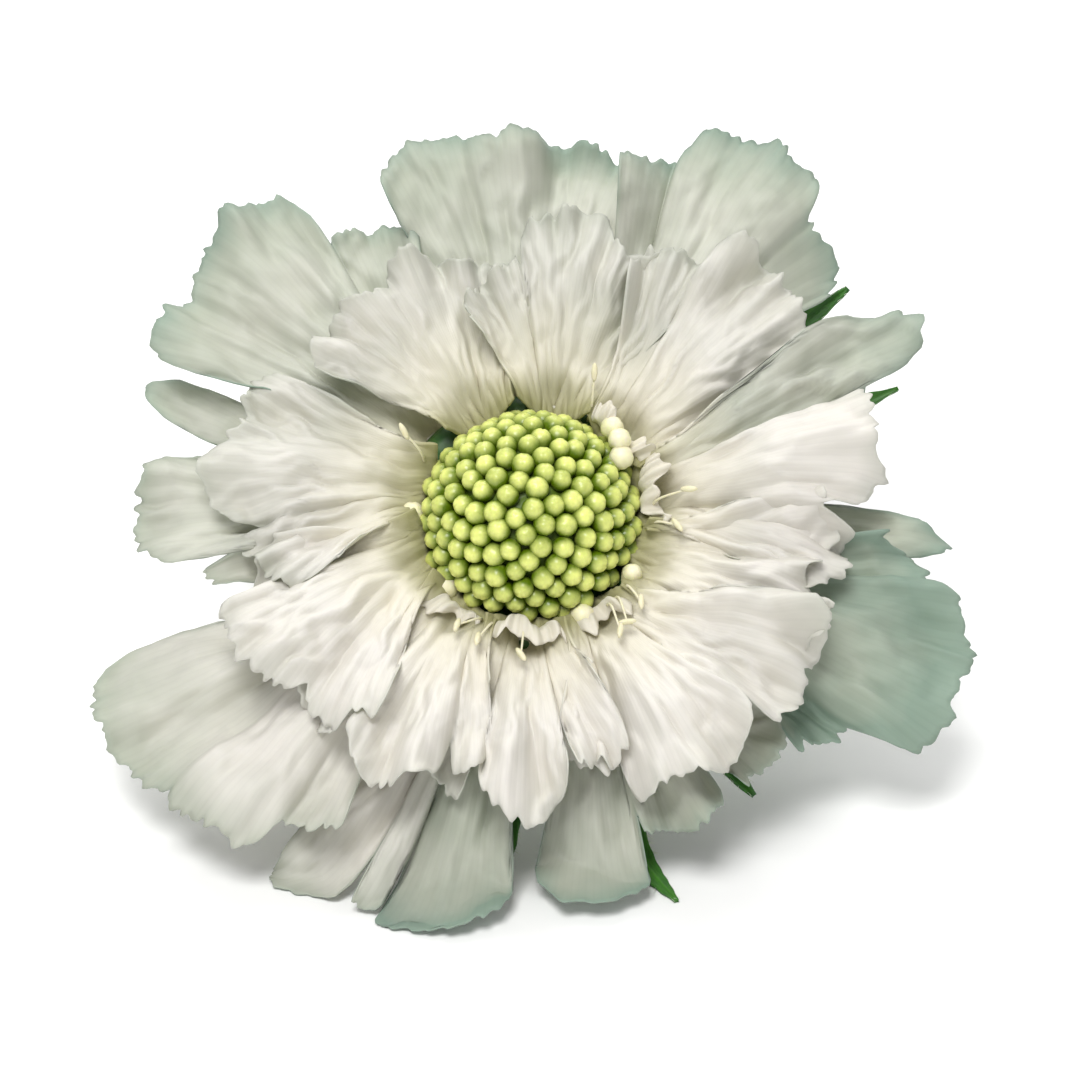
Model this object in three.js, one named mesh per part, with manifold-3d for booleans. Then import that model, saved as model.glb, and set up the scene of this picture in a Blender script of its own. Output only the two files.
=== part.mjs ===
// A cut scabiosa (pincushion flower) lying on a flat surface, its face tilted up.
//
// The stem lies along the surface, rises in a bend and ends in the receptacle, a short post that carries
// three whorls one above the other: the green bracts of the involucre, an outer whorl of large ray florets
// and an inner whorl of mostly shorter ones. On top sits a dome of closed green disc buds. Each ray floret
// opens from a throat beside the dome into three broad ruffled lobes that point outwards. Those of the
// inner whorl also have two small lobes that stand up between the throat and the dome.
//
// Units are millimetres. +Z is up, the surface is z = 0, and the face looks up and towards -Y. The head is
// built in a frame of its own, with the dome's base at its origin and the face looking along its z axis.

import * as THREE from "three";
import { mergeVertices } from "three/addons/utils/BufferGeometryUtils.js";
import Module from "manifold-3d";

const wasm = await Module();
wasm.setup();

const DEG = Math.PI / 180;

// ---------------------------------------------------------------------------------------------------
// Driving dimensions
// ---------------------------------------------------------------------------------------------------

const FACE_ELEVATION = 50; // degrees from level to the direction that the face looks in
const HEAD_CENTRE = new THREE.Vector3(0, -22.2, 25.4); // middle of the dome's base

const PETAL_THICKNESS = 0.6;
const BRACT_THICKNESS = 0.7;
const PRESS = 0.3; // how far blades that reach the surface would sink into it, and are cut flat
const BRACT_ROOM = 1.8; // how far the petals on the right are held up by the bracts under them

const BUD_COUNT = 104;
const BUD_RADIUS = 0.98;
const BUD_STANDS_OUT = 0.55; // from the core's surface to a bud's middle
const DOME_RADIUS = 8.8; // to the middle of the outermost buds
const DOME_HEIGHT = 7.4;

const POST_RADIUS = 2.7; // the receptacle's post, which passes through the whorls
const STEM_RADIUS = 1.45;
const STEM_SINK = 0.08; // how far the stem's round underside is flattened on the surface
const STEM_BEND = 21; // from the receptacle down to the point where the stem would meet the surface
const STEM_LYING_TO = 48; // y of the cut end
const STEM_SWAY = 5; // how far the cut end lies to one side

// The whorls: where a floret's throat is, how its middle lobe rises from there and how it ends, as angles
// from the head's plane at the throat and at the distance span from it, and how deep its folds are.
const OUTER_WHORL = { radius: 11.8, height: -2.1, rise: 12, fall: -13, span: 28, fold: 1.0, small: false };
const INNER_WHORL = { radius: 10.9, height: 1.1, rise: 27, fall: -6, span: 18, fold: 1.0, small: true };
const LOBE_STEP = 1.2; // how far a floret's side lobes lie under its middle lobe
const SAG = 14; // degrees that the lowest florets' ends hang down below those of the topmost ones
const SHINGLE = 7; // degrees that a floret leans about its own length, so that it overlaps the next one

// A floret's two small lobes: how far their roots lie inwards from the throat, to either side of it and under
// it, and how far they lean out.
const SMALL_LOBES = { inwards: 0.7, aside: 1.7, under: 0.7, height: 4.2, halfWidth: 1.7, lean: 20 };

// Bodies of revolution about the head's axis, as [radius, height]. A gap of 0.3 or more parts each from the
// next. The post passes through the disc and the collars, and the dome's underside rests over its top.
const SHOULDER_HEIGHT = -6.9; // top of the stem's flared shoulder
const POST_TOP = -3.7;
const SHOULDER_PROFILE = [
  [0, -10.2], [1.2, -10.2], [1.9, -8.6], [4.2, SHOULDER_HEIGHT], [POST_RADIUS, SHOULDER_HEIGHT],
  [POST_RADIUS, POST_TOP], [0, POST_TOP],
];
const BRACT_DISC_PROFILE = [[3.1, -6.6], [5.6, -6.6], [6.2, -5.9], [3.1, -5.9], [3.1, -6.6]];
const OUTER_COLLAR_PROFILE = [
  [3.1, -5.6], [6.2, -5.6], [12.4, -3.9], [12.4, -1.9], [11.4, -1.6], [5.6, -4.75], [3.1, -4.75], [3.1, -5.6],
];
const INNER_COLLAR_PROFILE = [
  [3.1, -4.3], [5.6, -4.3], [11.4, -0.9], [11.6, 0.7], [10.7, 1.6], [9.8, -0.9], [5.6, -3.7], [3.1, -3.7],
  [3.1, -4.3],
];
const DOME_UNDERSIDE = [[0, -3.4], [4.1, -3.4], [6.3, -1.4]];

// Ray florets: the bearing of the throat, in degrees anticlockwise from the flower's right, seen from the
// face. Then each broad lobe as [x, y, half width], with x and y of its tip in the head's plane.
const OUTER_FLORETS = [
  { at: 91, lobes: [[6.8, 36.4, 5.6], [-1, 36.6, 5.6], [-8.5, 36.2, 5.8]] },
  { at: 55, lobes: [[24, 30, 5.5], [21.2, 36.8, 6.2], [13.6, 34.3, 4.6]] },
  { at: 16, lobes: [[36.6, -0.8, 2.9], [27, 8, 5.5], [28, 16, 5]] },
  { at: -22, lobes: [[28, -15.6, 5.2], [36.9, -13.2, 7.2], [33.4, -6.4, 4.8]] },
  { at: -62, lobes: [[5, -37.5, 4.4], [13.1, -26.3, 5.6], [20.2, -20.3, 5.8]] },
  { at: -106, lobes: [[-21.5, -34.5, 5], [-14.6, -34.5, 4.2], [-8.2, -42.6, 6.4]] },
  { at: -143, lobes: [[-36, -17.4, 7], [-29.5, -24.3, 7.2], [-23, -25, 6]] },
  { at: 178, lobes: [[-33, 14, 4.6], [-34.1, 1, 5.8], [-28, -2, 4.5]] },
  { at: 136, lobes: [[-17.3, 27.2, 6], [-27.3, 27, 7], [-31, 20.4, 5.6]] },
];
const INNER_FLORETS = [
  { at: 76, lobes: [[11, 22.8, 5], [5, 26, 5.6], [-2, 21.7, 5]] },
  { at: 42, lobes: [[24, 12.2, 5], [22, 20.1, 5.8], [15, 21.7, 5]] },
  { at: 9, lobes: [[27, -2.4, 5.6], [29.4, 6.8, 7.2], [34, 18.6, 3.8]] },
  { at: -23, lobes: [[18.5, -13.9, 5], [25, -9.1, 5.8], [26, -3.3, 5]] },
  { at: -56, lobes: [[8, -23, 5], [14.7, -23.6, 5.8], [23.4, -14.5, 5.6]] },
  { at: -92, lobes: [[-6.4, -24, 4.4], [-0.9, -27.4, 4.7], [4.5, -23, 4.4]] },
  { at: -125, lobes: [[-17, -20.3, 5], [-13, -25, 5.4], [-8, -24, 4.6]] },
  { at: -158, lobes: [[-23, -9.1, 5.2], [-24, -14.4, 5.6], [-18, -18.7, 5]] },
  { at: 166, lobes: [[-26, 9, 5], [-27.6, 4.2, 5.8], [-23.8, -3.9, 5.2]] },
  { at: 121, lobes: [[-6, 22.8, 5], [-12, 21.7, 5.6], [-17, 17.5, 5.2]] },
];

// Bracts of the involucre: the tip's bearing and its reach from the axis.
const BRACTS = [
  [40, 38], [24, 36.5], [2, 28], [-21, 24], [-46, 29], [-70, 40], [-88, 34],
  [-117, 25], [-146, 26], [-175, 23], [156, 25], [127, 23], [96, 26], [68, 24],
];
const BRACT_ROOT = { radius: 5.3, height: -6.6 };
const BRACT_HALF_WIDTH = 1.8;
const BRACT_RISE = -6; // degrees that a bract points above the head's plane at its root
const BRACT_FALL = -11; // the same at its tip

// ---------------------------------------------------------------------------------------------------
// Small helpers
// ---------------------------------------------------------------------------------------------------

/** A repeatable draw from 0 to 1 for a seed. */
function draw(seed) {
  const s = Math.sin(seed * 127.1) * 43758.5453;
  return s - Math.floor(s);
}

/** A repeatable draw from -1 to 1 for a seed. */
const sway = (seed) => 2 * draw(seed) - 1;

/** The horizontal unit vector at a bearing in radians. */
const toward = (bearing) => new THREE.Vector3(Math.cos(bearing), Math.sin(bearing), 0);

/** A closed geometry as a solid. */
function solidOf(geometry) {
  const bare = new THREE.BufferGeometry().setAttribute("position", geometry.getAttribute("position"));
  if (geometry.index) bare.setIndex(geometry.index);
  const merged = mergeVertices(bare, 1e-4);
  return solidFrom(merged.getAttribute("position").array, merged.index.array);
}

function solidFrom(positions, triangles) {
  return new wasm.Manifold(
    new wasm.Mesh({
      numProp: 3,
      vertProperties: new Float32Array(positions),
      triVerts: new Uint32Array(triangles),
    }),
  );
}

/** A solid as a flat-shaded geometry for a mesh. */
function geometryOf(solid) {
  const mesh = solid.getMesh();
  const geometry = new THREE.BufferGeometry();
  geometry.setAttribute("position", new THREE.BufferAttribute(new Float32Array(mesh.vertProperties), 3));
  geometry.setIndex(new THREE.BufferAttribute(new Uint32Array(mesh.triVerts), 1));
  const faceted = geometry.toNonIndexed();
  faceted.computeVertexNormals();
  return faceted;
}

/** Solids fused into one body, with the hollows that this closes filled. */
function join(solids) {
  const bodies = solids.reduce((whole, piece) => whole.add(piece)).decompose();
  return bodies.reduce((largest, body) => (body.volume() > largest.volume() ? body : largest));
}

/** A body of revolution about the head's axis, from a profile that starts and ends on it or is closed. */
function turned(profile, sides) {
  const points = profile.map(([radius, height]) => new THREE.Vector2(radius, height));
  return solidOf(new THREE.LatheGeometry(points, sides).rotateX(Math.PI / 2));
}

// ---------------------------------------------------------------------------------------------------
// The head's own frame, and the surface it rests on
// ---------------------------------------------------------------------------------------------------

const head = new THREE.Group();
head.position.copy(HEAD_CENTRE);
head.rotation.x = (90 - FACE_ELEVATION) * DEG;
head.updateMatrix();
const intoHead = head.matrix.clone().invert();

/**
 * Bends a point of the head that would lie below the surface, so that it comes to rest along it. The mid
 * surface of a blade of this thickness stops so low that its underside is cut flat; with room for it, the
 * blade rests above the bracts where those lie on the surface themselves.
 */
function laidOnSurface(point, thickness, overBracts) {
  const SOFTNESS = 1.4;
  const p = point.clone().applyMatrix4(head.matrix);
  const room = overBracts ? BRACT_ROOM * THREE.MathUtils.smoothstep(p.x, -12, -3) : 0;
  const clearance = thickness / 2 - PRESS + room;
  p.z = clearance + SOFTNESS * Math.log1p(Math.exp((p.z - clearance) / SOFTNESS));
  return p.applyMatrix4(intoHead);
}

/** What of a solid of the head lies above the surface, as one body. */
function aboveSurface(solid) {
  const REACH = 200;
  const space = new THREE.BoxGeometry(REACH, REACH, REACH).translate(0, 0, REACH / 2).applyMatrix4(intoHead);
  return join([solid.intersect(solidOf(space))]);
}

// ---------------------------------------------------------------------------------------------------
// Blades: petals and bracts
// ---------------------------------------------------------------------------------------------------

/** A closed blade round the surface at(u, v), with u from -1 to 1 across it and v from 0 to 1 along it. */
function blade(at, across, along, thickness) {
  const STEP = 1e-3;
  const positions = [];
  const count = (across + 1) * (along + 1);
  for (const side of [0.5, -0.5]) {
    for (let j = 0; j <= along; j++) {
      for (let i = 0; i <= across; i++) {
        const u = -1 + (2 * i) / across;
        const v = j / along;
        const du = at(u + STEP, v).sub(at(u - STEP, v));
        const dv = at(u, v + STEP).sub(at(u, v - STEP));
        const normal = du.cross(dv).normalize();
        positions.push(...at(u, v).addScaledVector(normal, side * thickness));
      }
    }
  }
  const index = (i, j) => j * (across + 1) + i;
  const triangles = [];
  for (let j = 0; j < along; j++) {
    for (let i = 0; i < across; i++) {
      const [a, b, c, d] = [index(i, j), index(i + 1, j), index(i + 1, j + 1), index(i, j + 1)];
      triangles.push(a, b, c, a, c, d);
      triangles.push(a + count, c + count, b + count, a + count, d + count, c + count);
    }
  }
  const rim = [];
  for (let i = 0; i < across; i++) rim.push(index(i, 0));
  for (let j = 0; j < along; j++) rim.push(index(across, j));
  for (let i = across; i > 0; i--) rim.push(index(i, along));
  for (let j = along; j > 0; j--) rim.push(index(0, j));
  rim.forEach((p, k) => {
    const q = rim[(k + 1) % rim.length];
    triangles.push(p + count, q + count, q, p + count, q, p);
  });
  return solidFrom(positions, triangles);
}

/**
 * A point at(v) and the directions there of a midrib that leaves root towards tip. It starts at the angle
 * rise above the head's plane and turns steadily to the angle fall, and v = 1 is above tip.
 */
function midrib(root, tip, rise, fall) {
  const along = tip.clone().sub(root).setZ(0);
  const distance = along.length();
  along.normalize();
  const side = new THREE.Vector3(-along.y, along.x, 0);
  const up = new THREE.Vector3(0, 0, 1);
  const turn = fall - rise;
  const length = (distance * turn) / (Math.sin(fall) - Math.sin(rise));
  return (v) => {
    const angle = rise + turn * v;
    const out = (length * (Math.sin(angle) - Math.sin(rise))) / turn;
    const high = (length * (Math.cos(rise) - Math.cos(angle))) / turn;
    return {
      point: root.clone().addScaledVector(along, out).addScaledVector(up, high),
      side,
      normal: along.clone().multiplyScalar(-Math.sin(angle)).addScaledVector(up, Math.cos(angle)),
    };
  };
}

/**
 * The height of a ray floret over the head's plane, at a distance s and an angle phi from its throat: an
 * arch along it, folds that fan out from the throat, and a lean to one side.
 */
function limbHeight(shape, axis, seed) {
  const sag = (SAG * (1 - Math.sin(axis))) / 2;
  const rise = Math.tan((shape.rise + 5 * sway(seed + 0.81)) * DEG);
  const fall = Math.tan((shape.fall - sag + 5 * sway(seed + 0.83)) * DEG);
  const lean = Math.tan(SHINGLE * DEG);
  const fold = shape.fold * (0.8 + 0.4 * draw(seed + 0.85));
  const folds = 9.5 + 2.5 * draw(seed + 0.87);
  const phase = 2 * Math.PI * draw(seed + 0.89);
  return (s, phi) => {
    const t = s / shape.span;
    const arch = s * (rise + 0.5 * (fall - rise) * t);
    return arch + fold * t * Math.sin(folds * phi + phase) + lean * s * Math.sin(phi);
  };
}

/**
 * The surface of one broad lobe of a ray floret. It widens from a narrow gutter-shaped claw at the throat,
 * its end is rounded and waved, and its sides curl up, or down if curl is negative.
 */
function lobeSurface({ root, axis, tip, halfWidth, height, drop, curl, seed }) {
  const along = tip.clone().sub(root).setZ(0);
  const length = along.length();
  along.normalize();
  const side = new THREE.Vector3(-along.y, along.x, 0);
  const turn = Math.atan2(along.y, along.x) - axis;
  const phase = 2 * Math.PI * draw(seed + 0.1);
  const slant = 0.1 * sway(seed + 0.3);
  return (u, v) => {
    const end = 1 - 0.2 * Math.abs(u) ** 2.4 + 0.04 * Math.cos(7 * u + phase);
    const y = length * v * (1 + (end - 1) * v * v);
    const widening = 0.22 + 0.78 * Math.sin((Math.PI / 2) * Math.min(Math.max(v, 0) / 0.85, 1));
    const x = halfWidth * (u * widening + slant * v * v);
    const gutter = 0.7 * u * u * Math.exp(-Math.max(v, 0) / 0.16);
    const lift = height(Math.hypot(x, y), turn + Math.atan2(x, y)) + gutter + curl * x * x * v - drop;
    const point = root.clone().addScaledVector(along, y).addScaledVector(side, x);
    point.z += lift;
    return laidOnSurface(point, PETAL_THICKNESS, true);
  };
}

/** A whorl of ray florets fused to the collar that their tubes make round the receptacle. */
function whorl(florets, shape, seed, collar) {
  const pieces = [collar];
  florets.forEach(({ at, lobes }, k) => {
    const axis = at * DEG;
    const root = toward(axis).multiplyScalar(shape.radius).setZ(shape.height);
    const height = limbHeight(shape, axis, seed + 10 * k);
    lobes.forEach(([x, y, halfWidth], n) => {
      const middle = n === 1;
      const surface = lobeSurface({
        root,
        axis,
        tip: new THREE.Vector3(x, y, 0),
        halfWidth,
        height,
        drop: middle ? 0 : LOBE_STEP,
        curl: middle ? 0.015 : -0.015,
        seed: seed + 10 * k + n,
      });
      const squares = middle ? 4 : 3;
      pieces.push(blade(surface, squares, squares, PETAL_THICKNESS));
    });
    if (!shape.small) return;
    pieces.push(standingLobe(axis, root, -1, seed + 10 * k - 3));
    pieces.push(standingLobe(axis, root, 1, seed + 10 * k + 3));
  });
  return aboveSurface(join(pieces));
}

/** One of a floret's two small lobes, which stand side by side near the dome and lean out over the claws. */
function standingLobe(bearing, root, hand, seed) {
  const { inwards, aside, under, halfWidth } = SMALL_LOBES;
  const outward = toward(bearing);
  const tangent = new THREE.Vector3(-outward.y, outward.x, 0);
  const base = root.clone().addScaledVector(outward, -inwards).addScaledVector(tangent, aside * hand);
  base.z -= under;
  const height = SMALL_LOBES.height + 0.8 * sway(seed + 0.2);
  const lean = (SMALL_LOBES.lean + 12 * sway(seed + 0.4)) * DEG;
  return blade(
    (u, v) => {
      const x = halfWidth * u * (0.6 + 0.4 * Math.sin((Math.PI / 2) * v)) + 0.4 * hand * v;
      const out = height * v * Math.sin(lean * v) + 0.3 * u * u * v;
      return base
        .clone()
        .addScaledVector(tangent, x)
        .addScaledVector(outward, out)
        .add(new THREE.Vector3(0, 0, height * v * (1 - 0.25 * u * u * v)));
    },
    2,
    1,
    PETAL_THICKNESS,
  );
}

// ---------------------------------------------------------------------------------------------------
// Pieces
// ---------------------------------------------------------------------------------------------------

/** The dome of closed disc buds: balls set in a spiral of even spacing, each sunk in the dome's core. */
function budDome() {
  const GOLDEN_ANGLE = Math.PI * (3 - Math.sqrt(5));
  const RINGS = 4;
  const SIDES = 16;
  const ballRadius = (DOME_RADIUS ** 2 + DOME_HEIGHT ** 2) / (2 * DOME_HEIGHT);
  const ballCentre = DOME_HEIGHT - ballRadius;
  const coreRadius = ballRadius - BUD_STANDS_OUT;
  const edge = Math.acos(1 - DOME_HEIGHT / ballRadius);
  const profile = [...DOME_UNDERSIDE];
  for (let k = 0; k <= RINGS; k++) {
    const angle = edge * (1 - k / RINGS);
    profile.push([coreRadius * Math.sin(angle), ballCentre + coreRadius * Math.cos(angle)]);
  }
  const pieces = [turned(profile, SIDES)];
  for (let k = 0; k < BUD_COUNT; k++) {
    const cosine = 1 - ((k + 0.5) / BUD_COUNT) * (DOME_HEIGHT / ballRadius);
    const sine = Math.sqrt(1 - cosine * cosine);
    const ball = new THREE.IcosahedronGeometry(BUD_RADIUS, 0)
      .translate(
        ballRadius * sine * Math.cos(k * GOLDEN_ANGLE),
        ballRadius * sine * Math.sin(k * GOLDEN_ANGLE),
        ballCentre + ballRadius * cosine,
      );
    pieces.push(solidOf(ball));
  }
  return join(pieces);
}

/** The inner whorl of ray florets. */
function innerRays() {
  return whorl(INNER_FLORETS, INNER_WHORL, 500, turned(INNER_COLLAR_PROFILE, 24));
}

/** The outer whorl of ray florets. */
function outerRays() {
  return whorl(OUTER_FLORETS, OUTER_WHORL, 100, turned(OUTER_COLLAR_PROFILE, 20));
}

/** The involucre: narrow pointed bracts with a keel, on a disc round the receptacle. */
function involucre() {
  const pieces = [turned(BRACT_DISC_PROFILE, 16)];
  BRACTS.forEach(([tipBearing, reach], k) => {
    const root = toward(tipBearing * DEG).multiplyScalar(BRACT_ROOT.radius).setZ(BRACT_ROOT.height);
    const tip = toward((tipBearing + 3 * sway(k + 0.2)) * DEG).multiplyScalar(reach);
    const rise = (BRACT_RISE + 3 * sway(k + 0.4)) * DEG;
    const fall = (BRACT_FALL + 3 * sway(k + 0.6)) * DEG;
    const rib = midrib(root, tip, rise, fall);
    const surface = (u, v) => {
      const { point, side, normal } = rib(v);
      const outline = 0.62 + 0.7 * v - 1.24 * v ** 3;
      const x = BRACT_HALF_WIDTH * u * outline;
      point.addScaledVector(side, x).addScaledVector(normal, 0.55 * Math.abs(x) - 0.3);
      return laidOnSurface(point, BRACT_THICKNESS, false);
    };
    pieces.push(blade(surface, 2, 5, BRACT_THICKNESS));
  });
  return aboveSurface(join(pieces));
}

/** The stem and the receptacle: along the surface, up in a bend, then the flared shoulder and the post. */
function stem() {
  const SIDES = 12;
  const lying = STEM_RADIUS - STEM_SINK;
  const onSurface = (x, y) => new THREE.Vector3(x, y, lying).applyMatrix4(intoHead);
  const start = new THREE.Vector3(0, 0, SHOULDER_HEIGHT - 1.2);
  const corner = new THREE.Vector3(0, 0, SHOULDER_HEIGHT - STEM_BEND);
  const cornerY = corner.clone().applyMatrix4(head.matrix).y;
  const bend = new THREE.QuadraticBezierCurve3(start, corner, onSurface(0.12 * STEM_SWAY, cornerY + 14));
  const path = new THREE.CatmullRomCurve3([
    ...bend.getPoints(6),
    onSurface(0.3 * STEM_SWAY, cornerY + 24),
    onSurface(0.6 * STEM_SWAY, 0.5 * (cornerY + 24 + STEM_LYING_TO)),
    onSurface(STEM_SWAY, STEM_LYING_TO),
  ]);
  const section = new THREE.Shape().absarc(0, 0, STEM_RADIUS, 0, 2 * Math.PI);
  const extrusion = { curveSegments: SIDES / 2, steps: 14, extrudePath: path };
  const stalk = new THREE.ExtrudeGeometry(section, extrusion);
  return aboveSurface(join([turned(SHOULDER_PROFILE, SIDES), solidOf(stalk)]));
}

// ---------------------------------------------------------------------------------------------------
// The flower
// ---------------------------------------------------------------------------------------------------

function piece(name, solid, color, roughness) {
  const material = new THREE.MeshStandardMaterial({ color, roughness, metalness: 0, flatShading: true });
  const mesh = new THREE.Mesh(geometryOf(solid), material);
  mesh.name = name;
  return mesh;
}

head.add(
  piece("stem", stem(), "#5f7f3a", 0.6),
  piece("involucre", involucre(), "#3f6b2a", 0.55),
  piece("ray_florets_outer", outerRays(), "#dfe3d8", 0.6),
  piece("ray_florets_inner", innerRays(), "#ece9e1", 0.6),
  piece("bud_dome", budDome(), "#a9b655", 0.5),
);

const flower = new THREE.Group();
flower.add(head);

export default flower;
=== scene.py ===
"""A cut white scabiosa lying on a table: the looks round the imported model.

The head is worked out in a frame of its own, in millimetres, with the dome's base at its origin and the
face looking along z, and is then put in place and turned to metres. Angles round the head are bearings, in
degrees anticlockwise from the flower's right as seen from the face.
"""

import math

import bpy
import numpy as np
from bpy.props import FloatProperty, FloatVectorProperty, PointerProperty
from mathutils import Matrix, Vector


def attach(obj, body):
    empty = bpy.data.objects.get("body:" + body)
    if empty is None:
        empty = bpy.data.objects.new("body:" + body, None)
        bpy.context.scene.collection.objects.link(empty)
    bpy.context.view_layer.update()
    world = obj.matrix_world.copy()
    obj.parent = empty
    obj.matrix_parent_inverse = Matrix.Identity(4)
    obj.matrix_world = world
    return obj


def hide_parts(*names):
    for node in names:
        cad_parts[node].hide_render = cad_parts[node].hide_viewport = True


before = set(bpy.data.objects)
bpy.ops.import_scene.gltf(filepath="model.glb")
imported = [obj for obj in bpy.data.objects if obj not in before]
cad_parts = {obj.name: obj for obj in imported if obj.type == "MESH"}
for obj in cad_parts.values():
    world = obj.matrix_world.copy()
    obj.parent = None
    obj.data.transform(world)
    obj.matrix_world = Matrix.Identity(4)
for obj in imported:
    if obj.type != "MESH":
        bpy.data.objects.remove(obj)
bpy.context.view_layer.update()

bl_info = {
    "name": "Scabiosa flower",
    "version": (1, 0, 0),
    "blender": (4, 5, 0),
    "location": "View3D > Sidebar > Scabiosa",
    "description": "Makes a cut white scabiosa and the stage that it lies on",
    "category": "Object",
}

MM = 0.001
TAU = 2 * math.pi
GOLDEN_ANGLE = math.pi * (3 - math.sqrt(5))


def linear(code):
    """An sRGB hex colour as linear red, green and blue."""
    channels = [int(code[i : i + 2], 16) / 255 for i in (1, 3, 5)]
    return tuple(c / 12.92 if c <= 0.04045 else ((c + 0.055) / 1.055) ** 2.4 for c in channels)


# ---- Shape of the head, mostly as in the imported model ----

# How far the face leans from straight up towards the front, and where the dome's base stands.
HEAD_TILT = math.radians(40)
HEAD_CENTRE = np.array([0.0, -22.2, 25.4])

# How petals lie: the room that bracts take under those on the right, how far the side lobes lie under the
# middle one, by how many degrees the lowest petals hang, and the lean, in degrees, that lays each petal on
# the next.
BRACT_ROOM = 1.8
LOBE_STEP = 1.2
SAG = 14
SHINGLE = 9

# The dome is a ball's cap. Its buds stand out of the core by a part of a millimetre.
DOME_RADIUS = 8.8
DOME_HEIGHT = 7.4
BUD_COUNT = 138
BUD_STANDS_OUT = 0.55
CORE_SKIRT = ((7.6, -1.0), (6.3, -1.8), (4.6, -3.1), (3.0, -3.3))

# The stem: its shoulder's height in the head, how far under the head its bend has its corner, the end's y
# and x in the world, and its radius.
SHOULDER_HEIGHT = -6.9
STEM_BEND = 21
STEM_LYING_TO = 48
STEM_SWAY = 5
STEM_RADIUS = 1.45

# Roots of the florets' tubes and of the bracts: distance from the axis and height.
TUBE_ROOT = (5.4, -4.9)
BRACT_ROOT = (5.3, -6.6)
BRACT_HALF_WIDTH = 1.8

# Each whorl: the throats' distance from the axis and height, the slopes in degrees at which a petal starts
# and ends, the length over which it turns from one to the other, the height of its slow folds, and its first
# draw.
OUTER_WHORL = dict(radius=11.8, height=-2.1, rise=12, fall=-13, span=28, fold=1.0, seed=100)
INNER_WHORL = dict(radius=10.9, height=1.1, rise=27, fall=-6, span=18, fold=1.0, seed=500)

# Each floret's bearing at its throat, then the tip's x and y and the half width of its three broad lobes.
OUTER_FLORETS = [
    (91, (6.8, 36.4, 5.6), (-1, 36.6, 5.6), (-8.5, 36.2, 5.8)),
    (55, (24, 30, 5.5), (21.2, 36.8, 6.2), (13.6, 34.3, 4.6)),
    (16, (36.6, -0.8, 3.4), (27, 8, 5.5), (28, 16, 5)),
    (-22, (28, -15.6, 5.2), (36.9, -13.2, 7.2), (33.4, -6.4, 4.8)),
    (-62, (5.2, -37.6, 5.5), (13.3, -26.8, 5.6), (20.2, -20.3, 5.8)),
    (-106, (-21.5, -34.5, 5), (-14.6, -34.5, 4.2), (-8.2, -42.6, 6.4)),
    (-143, (-36, -17.4, 7), (-29.5, -24.3, 7.2), (-23, -25, 6)),
    (178, (-33.4, 14.4, 3.5), (-34.1, 1, 5.8), (-28, -2, 4.5)),
    (136, (-17.3, 27.2, 6), (-27.3, 27, 7), (-31, 20.4, 5.6)),
]
INNER_FLORETS = [
    (79, (11, 22.8, 5), (5, 26, 5.6), (-2, 21.7, 5)),
    (42, (24, 12.2, 5), (22, 20.1, 5.8), (15, 21.7, 5)),
    (9, (27, -2.4, 5.6), (29.4, 6.8, 7.2), (34, 18.6, 4.4)),
    (-23, (18.5, -13.9, 5), (25, -9.1, 5.8), (26, -3.3, 5)),
    (-56, (8, -23, 5), (14.7, -23.6, 5.8), (23.4, -14.5, 5.6)),
    (-92, (-6.4, -24, 4.4), (-0.9, -27.4, 4.7), (4.5, -23, 4.4)),
    (-125, (-17, -20.3, 5), (-13, -25, 5.4), (-8, -24, 4.6)),
    (-158, (-23, -9.1, 5.2), (-24, -14.4, 5.6), (-18, -18.7, 5)),
    (166, (-26, 9, 5), (-27.6, 4.2, 5.8), (-23.8, -3.9, 5.2)),
    (117, (-6, 22.8, 5), (-12, 21.7, 5.6), (-17, 17.5, 5.2)),
]

# How green each floret is, or each of its lobes, from 0, white, to 1, and the depth of the slits between its
# lobes. The green is partly the petals' own and partly painted shade, raised on the lobes that lie in shade.
OUTER_GREEN_AND_SHADE = (
    0.44, (0.45, 0.4, 0.48), (0.52, 0.5, 0.42), (1.0, 0.82, 0.7), (0.5, 0.5, 0.42), (0.05, 0.26, 0.58),
    (0.14, 0.06, 0.08), (0.4, 0.34, 0.3), (0.4, 0.46, 0.44),
)
OUTER_SLITS = (0.4, 0.3, 6, 0.7, 3.4, 7, 0.4, 3, 0.6)
INNER_GREEN_AND_SHADE = (
    (0.28, 0.22, 0.24), (0.04, 0.12, 0.28), (0.02, 0, 0.5), (0, 0, 0.02), (0.02, 0, 0.05), (0.1, 0, 0),
    (0.03, 0, 0.03), (0.06, 0, 0), (0.16, 0.14, 0.12), (0.24, 0.24, 0.2),
)
INNER_SLITS = (2.2, 1.0, 3.0, 1.6, 1.2, 5.0, 3.0, 1.4, 2.2, 1.2)

# How much greener a petal gets towards its end, and the distances from the throat where that starts and is
# full.
END_GREEN = 0.28
END_GREEN_FROM, END_GREEN_TO = 17, 34

# How high the lip of each inner floret stands, on the dome's side of its mouth, or 0 for none. A mouth is a
# hollow of its own depth, deeper by a part of its lip's height.
NO_LIPS = (0,) * len(OUTER_FLORETS)
LIP_HEIGHTS = (0, 4.4, 4.0, 0, 2.6, 4.4, 2.2, 0, 0, 0)
MOUTH_DEPTH = 1.3
MOUTH_PER_LIP = 0.25

# The points across and along a petal.
LIMB_GRID = (131, 49)

# The cream buds at the dome's edge: bearing, distance from the axis and height of the tip. Then the
# stamens' bearings.
CREAM_BUDS = [
    (38, 10.4, 5.0), (46, 9.6, 4.3), (30, 9.7, 4.6), (178, 9.9, 1.6), (-32, 9.8, 2.6), (-64, 9.9, 2.2),
    (-140, 9.9, 1.5),
]
STAMENS = (-6, 4, -40, -47, -52, -93, -108, -114, 61, 152)

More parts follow.
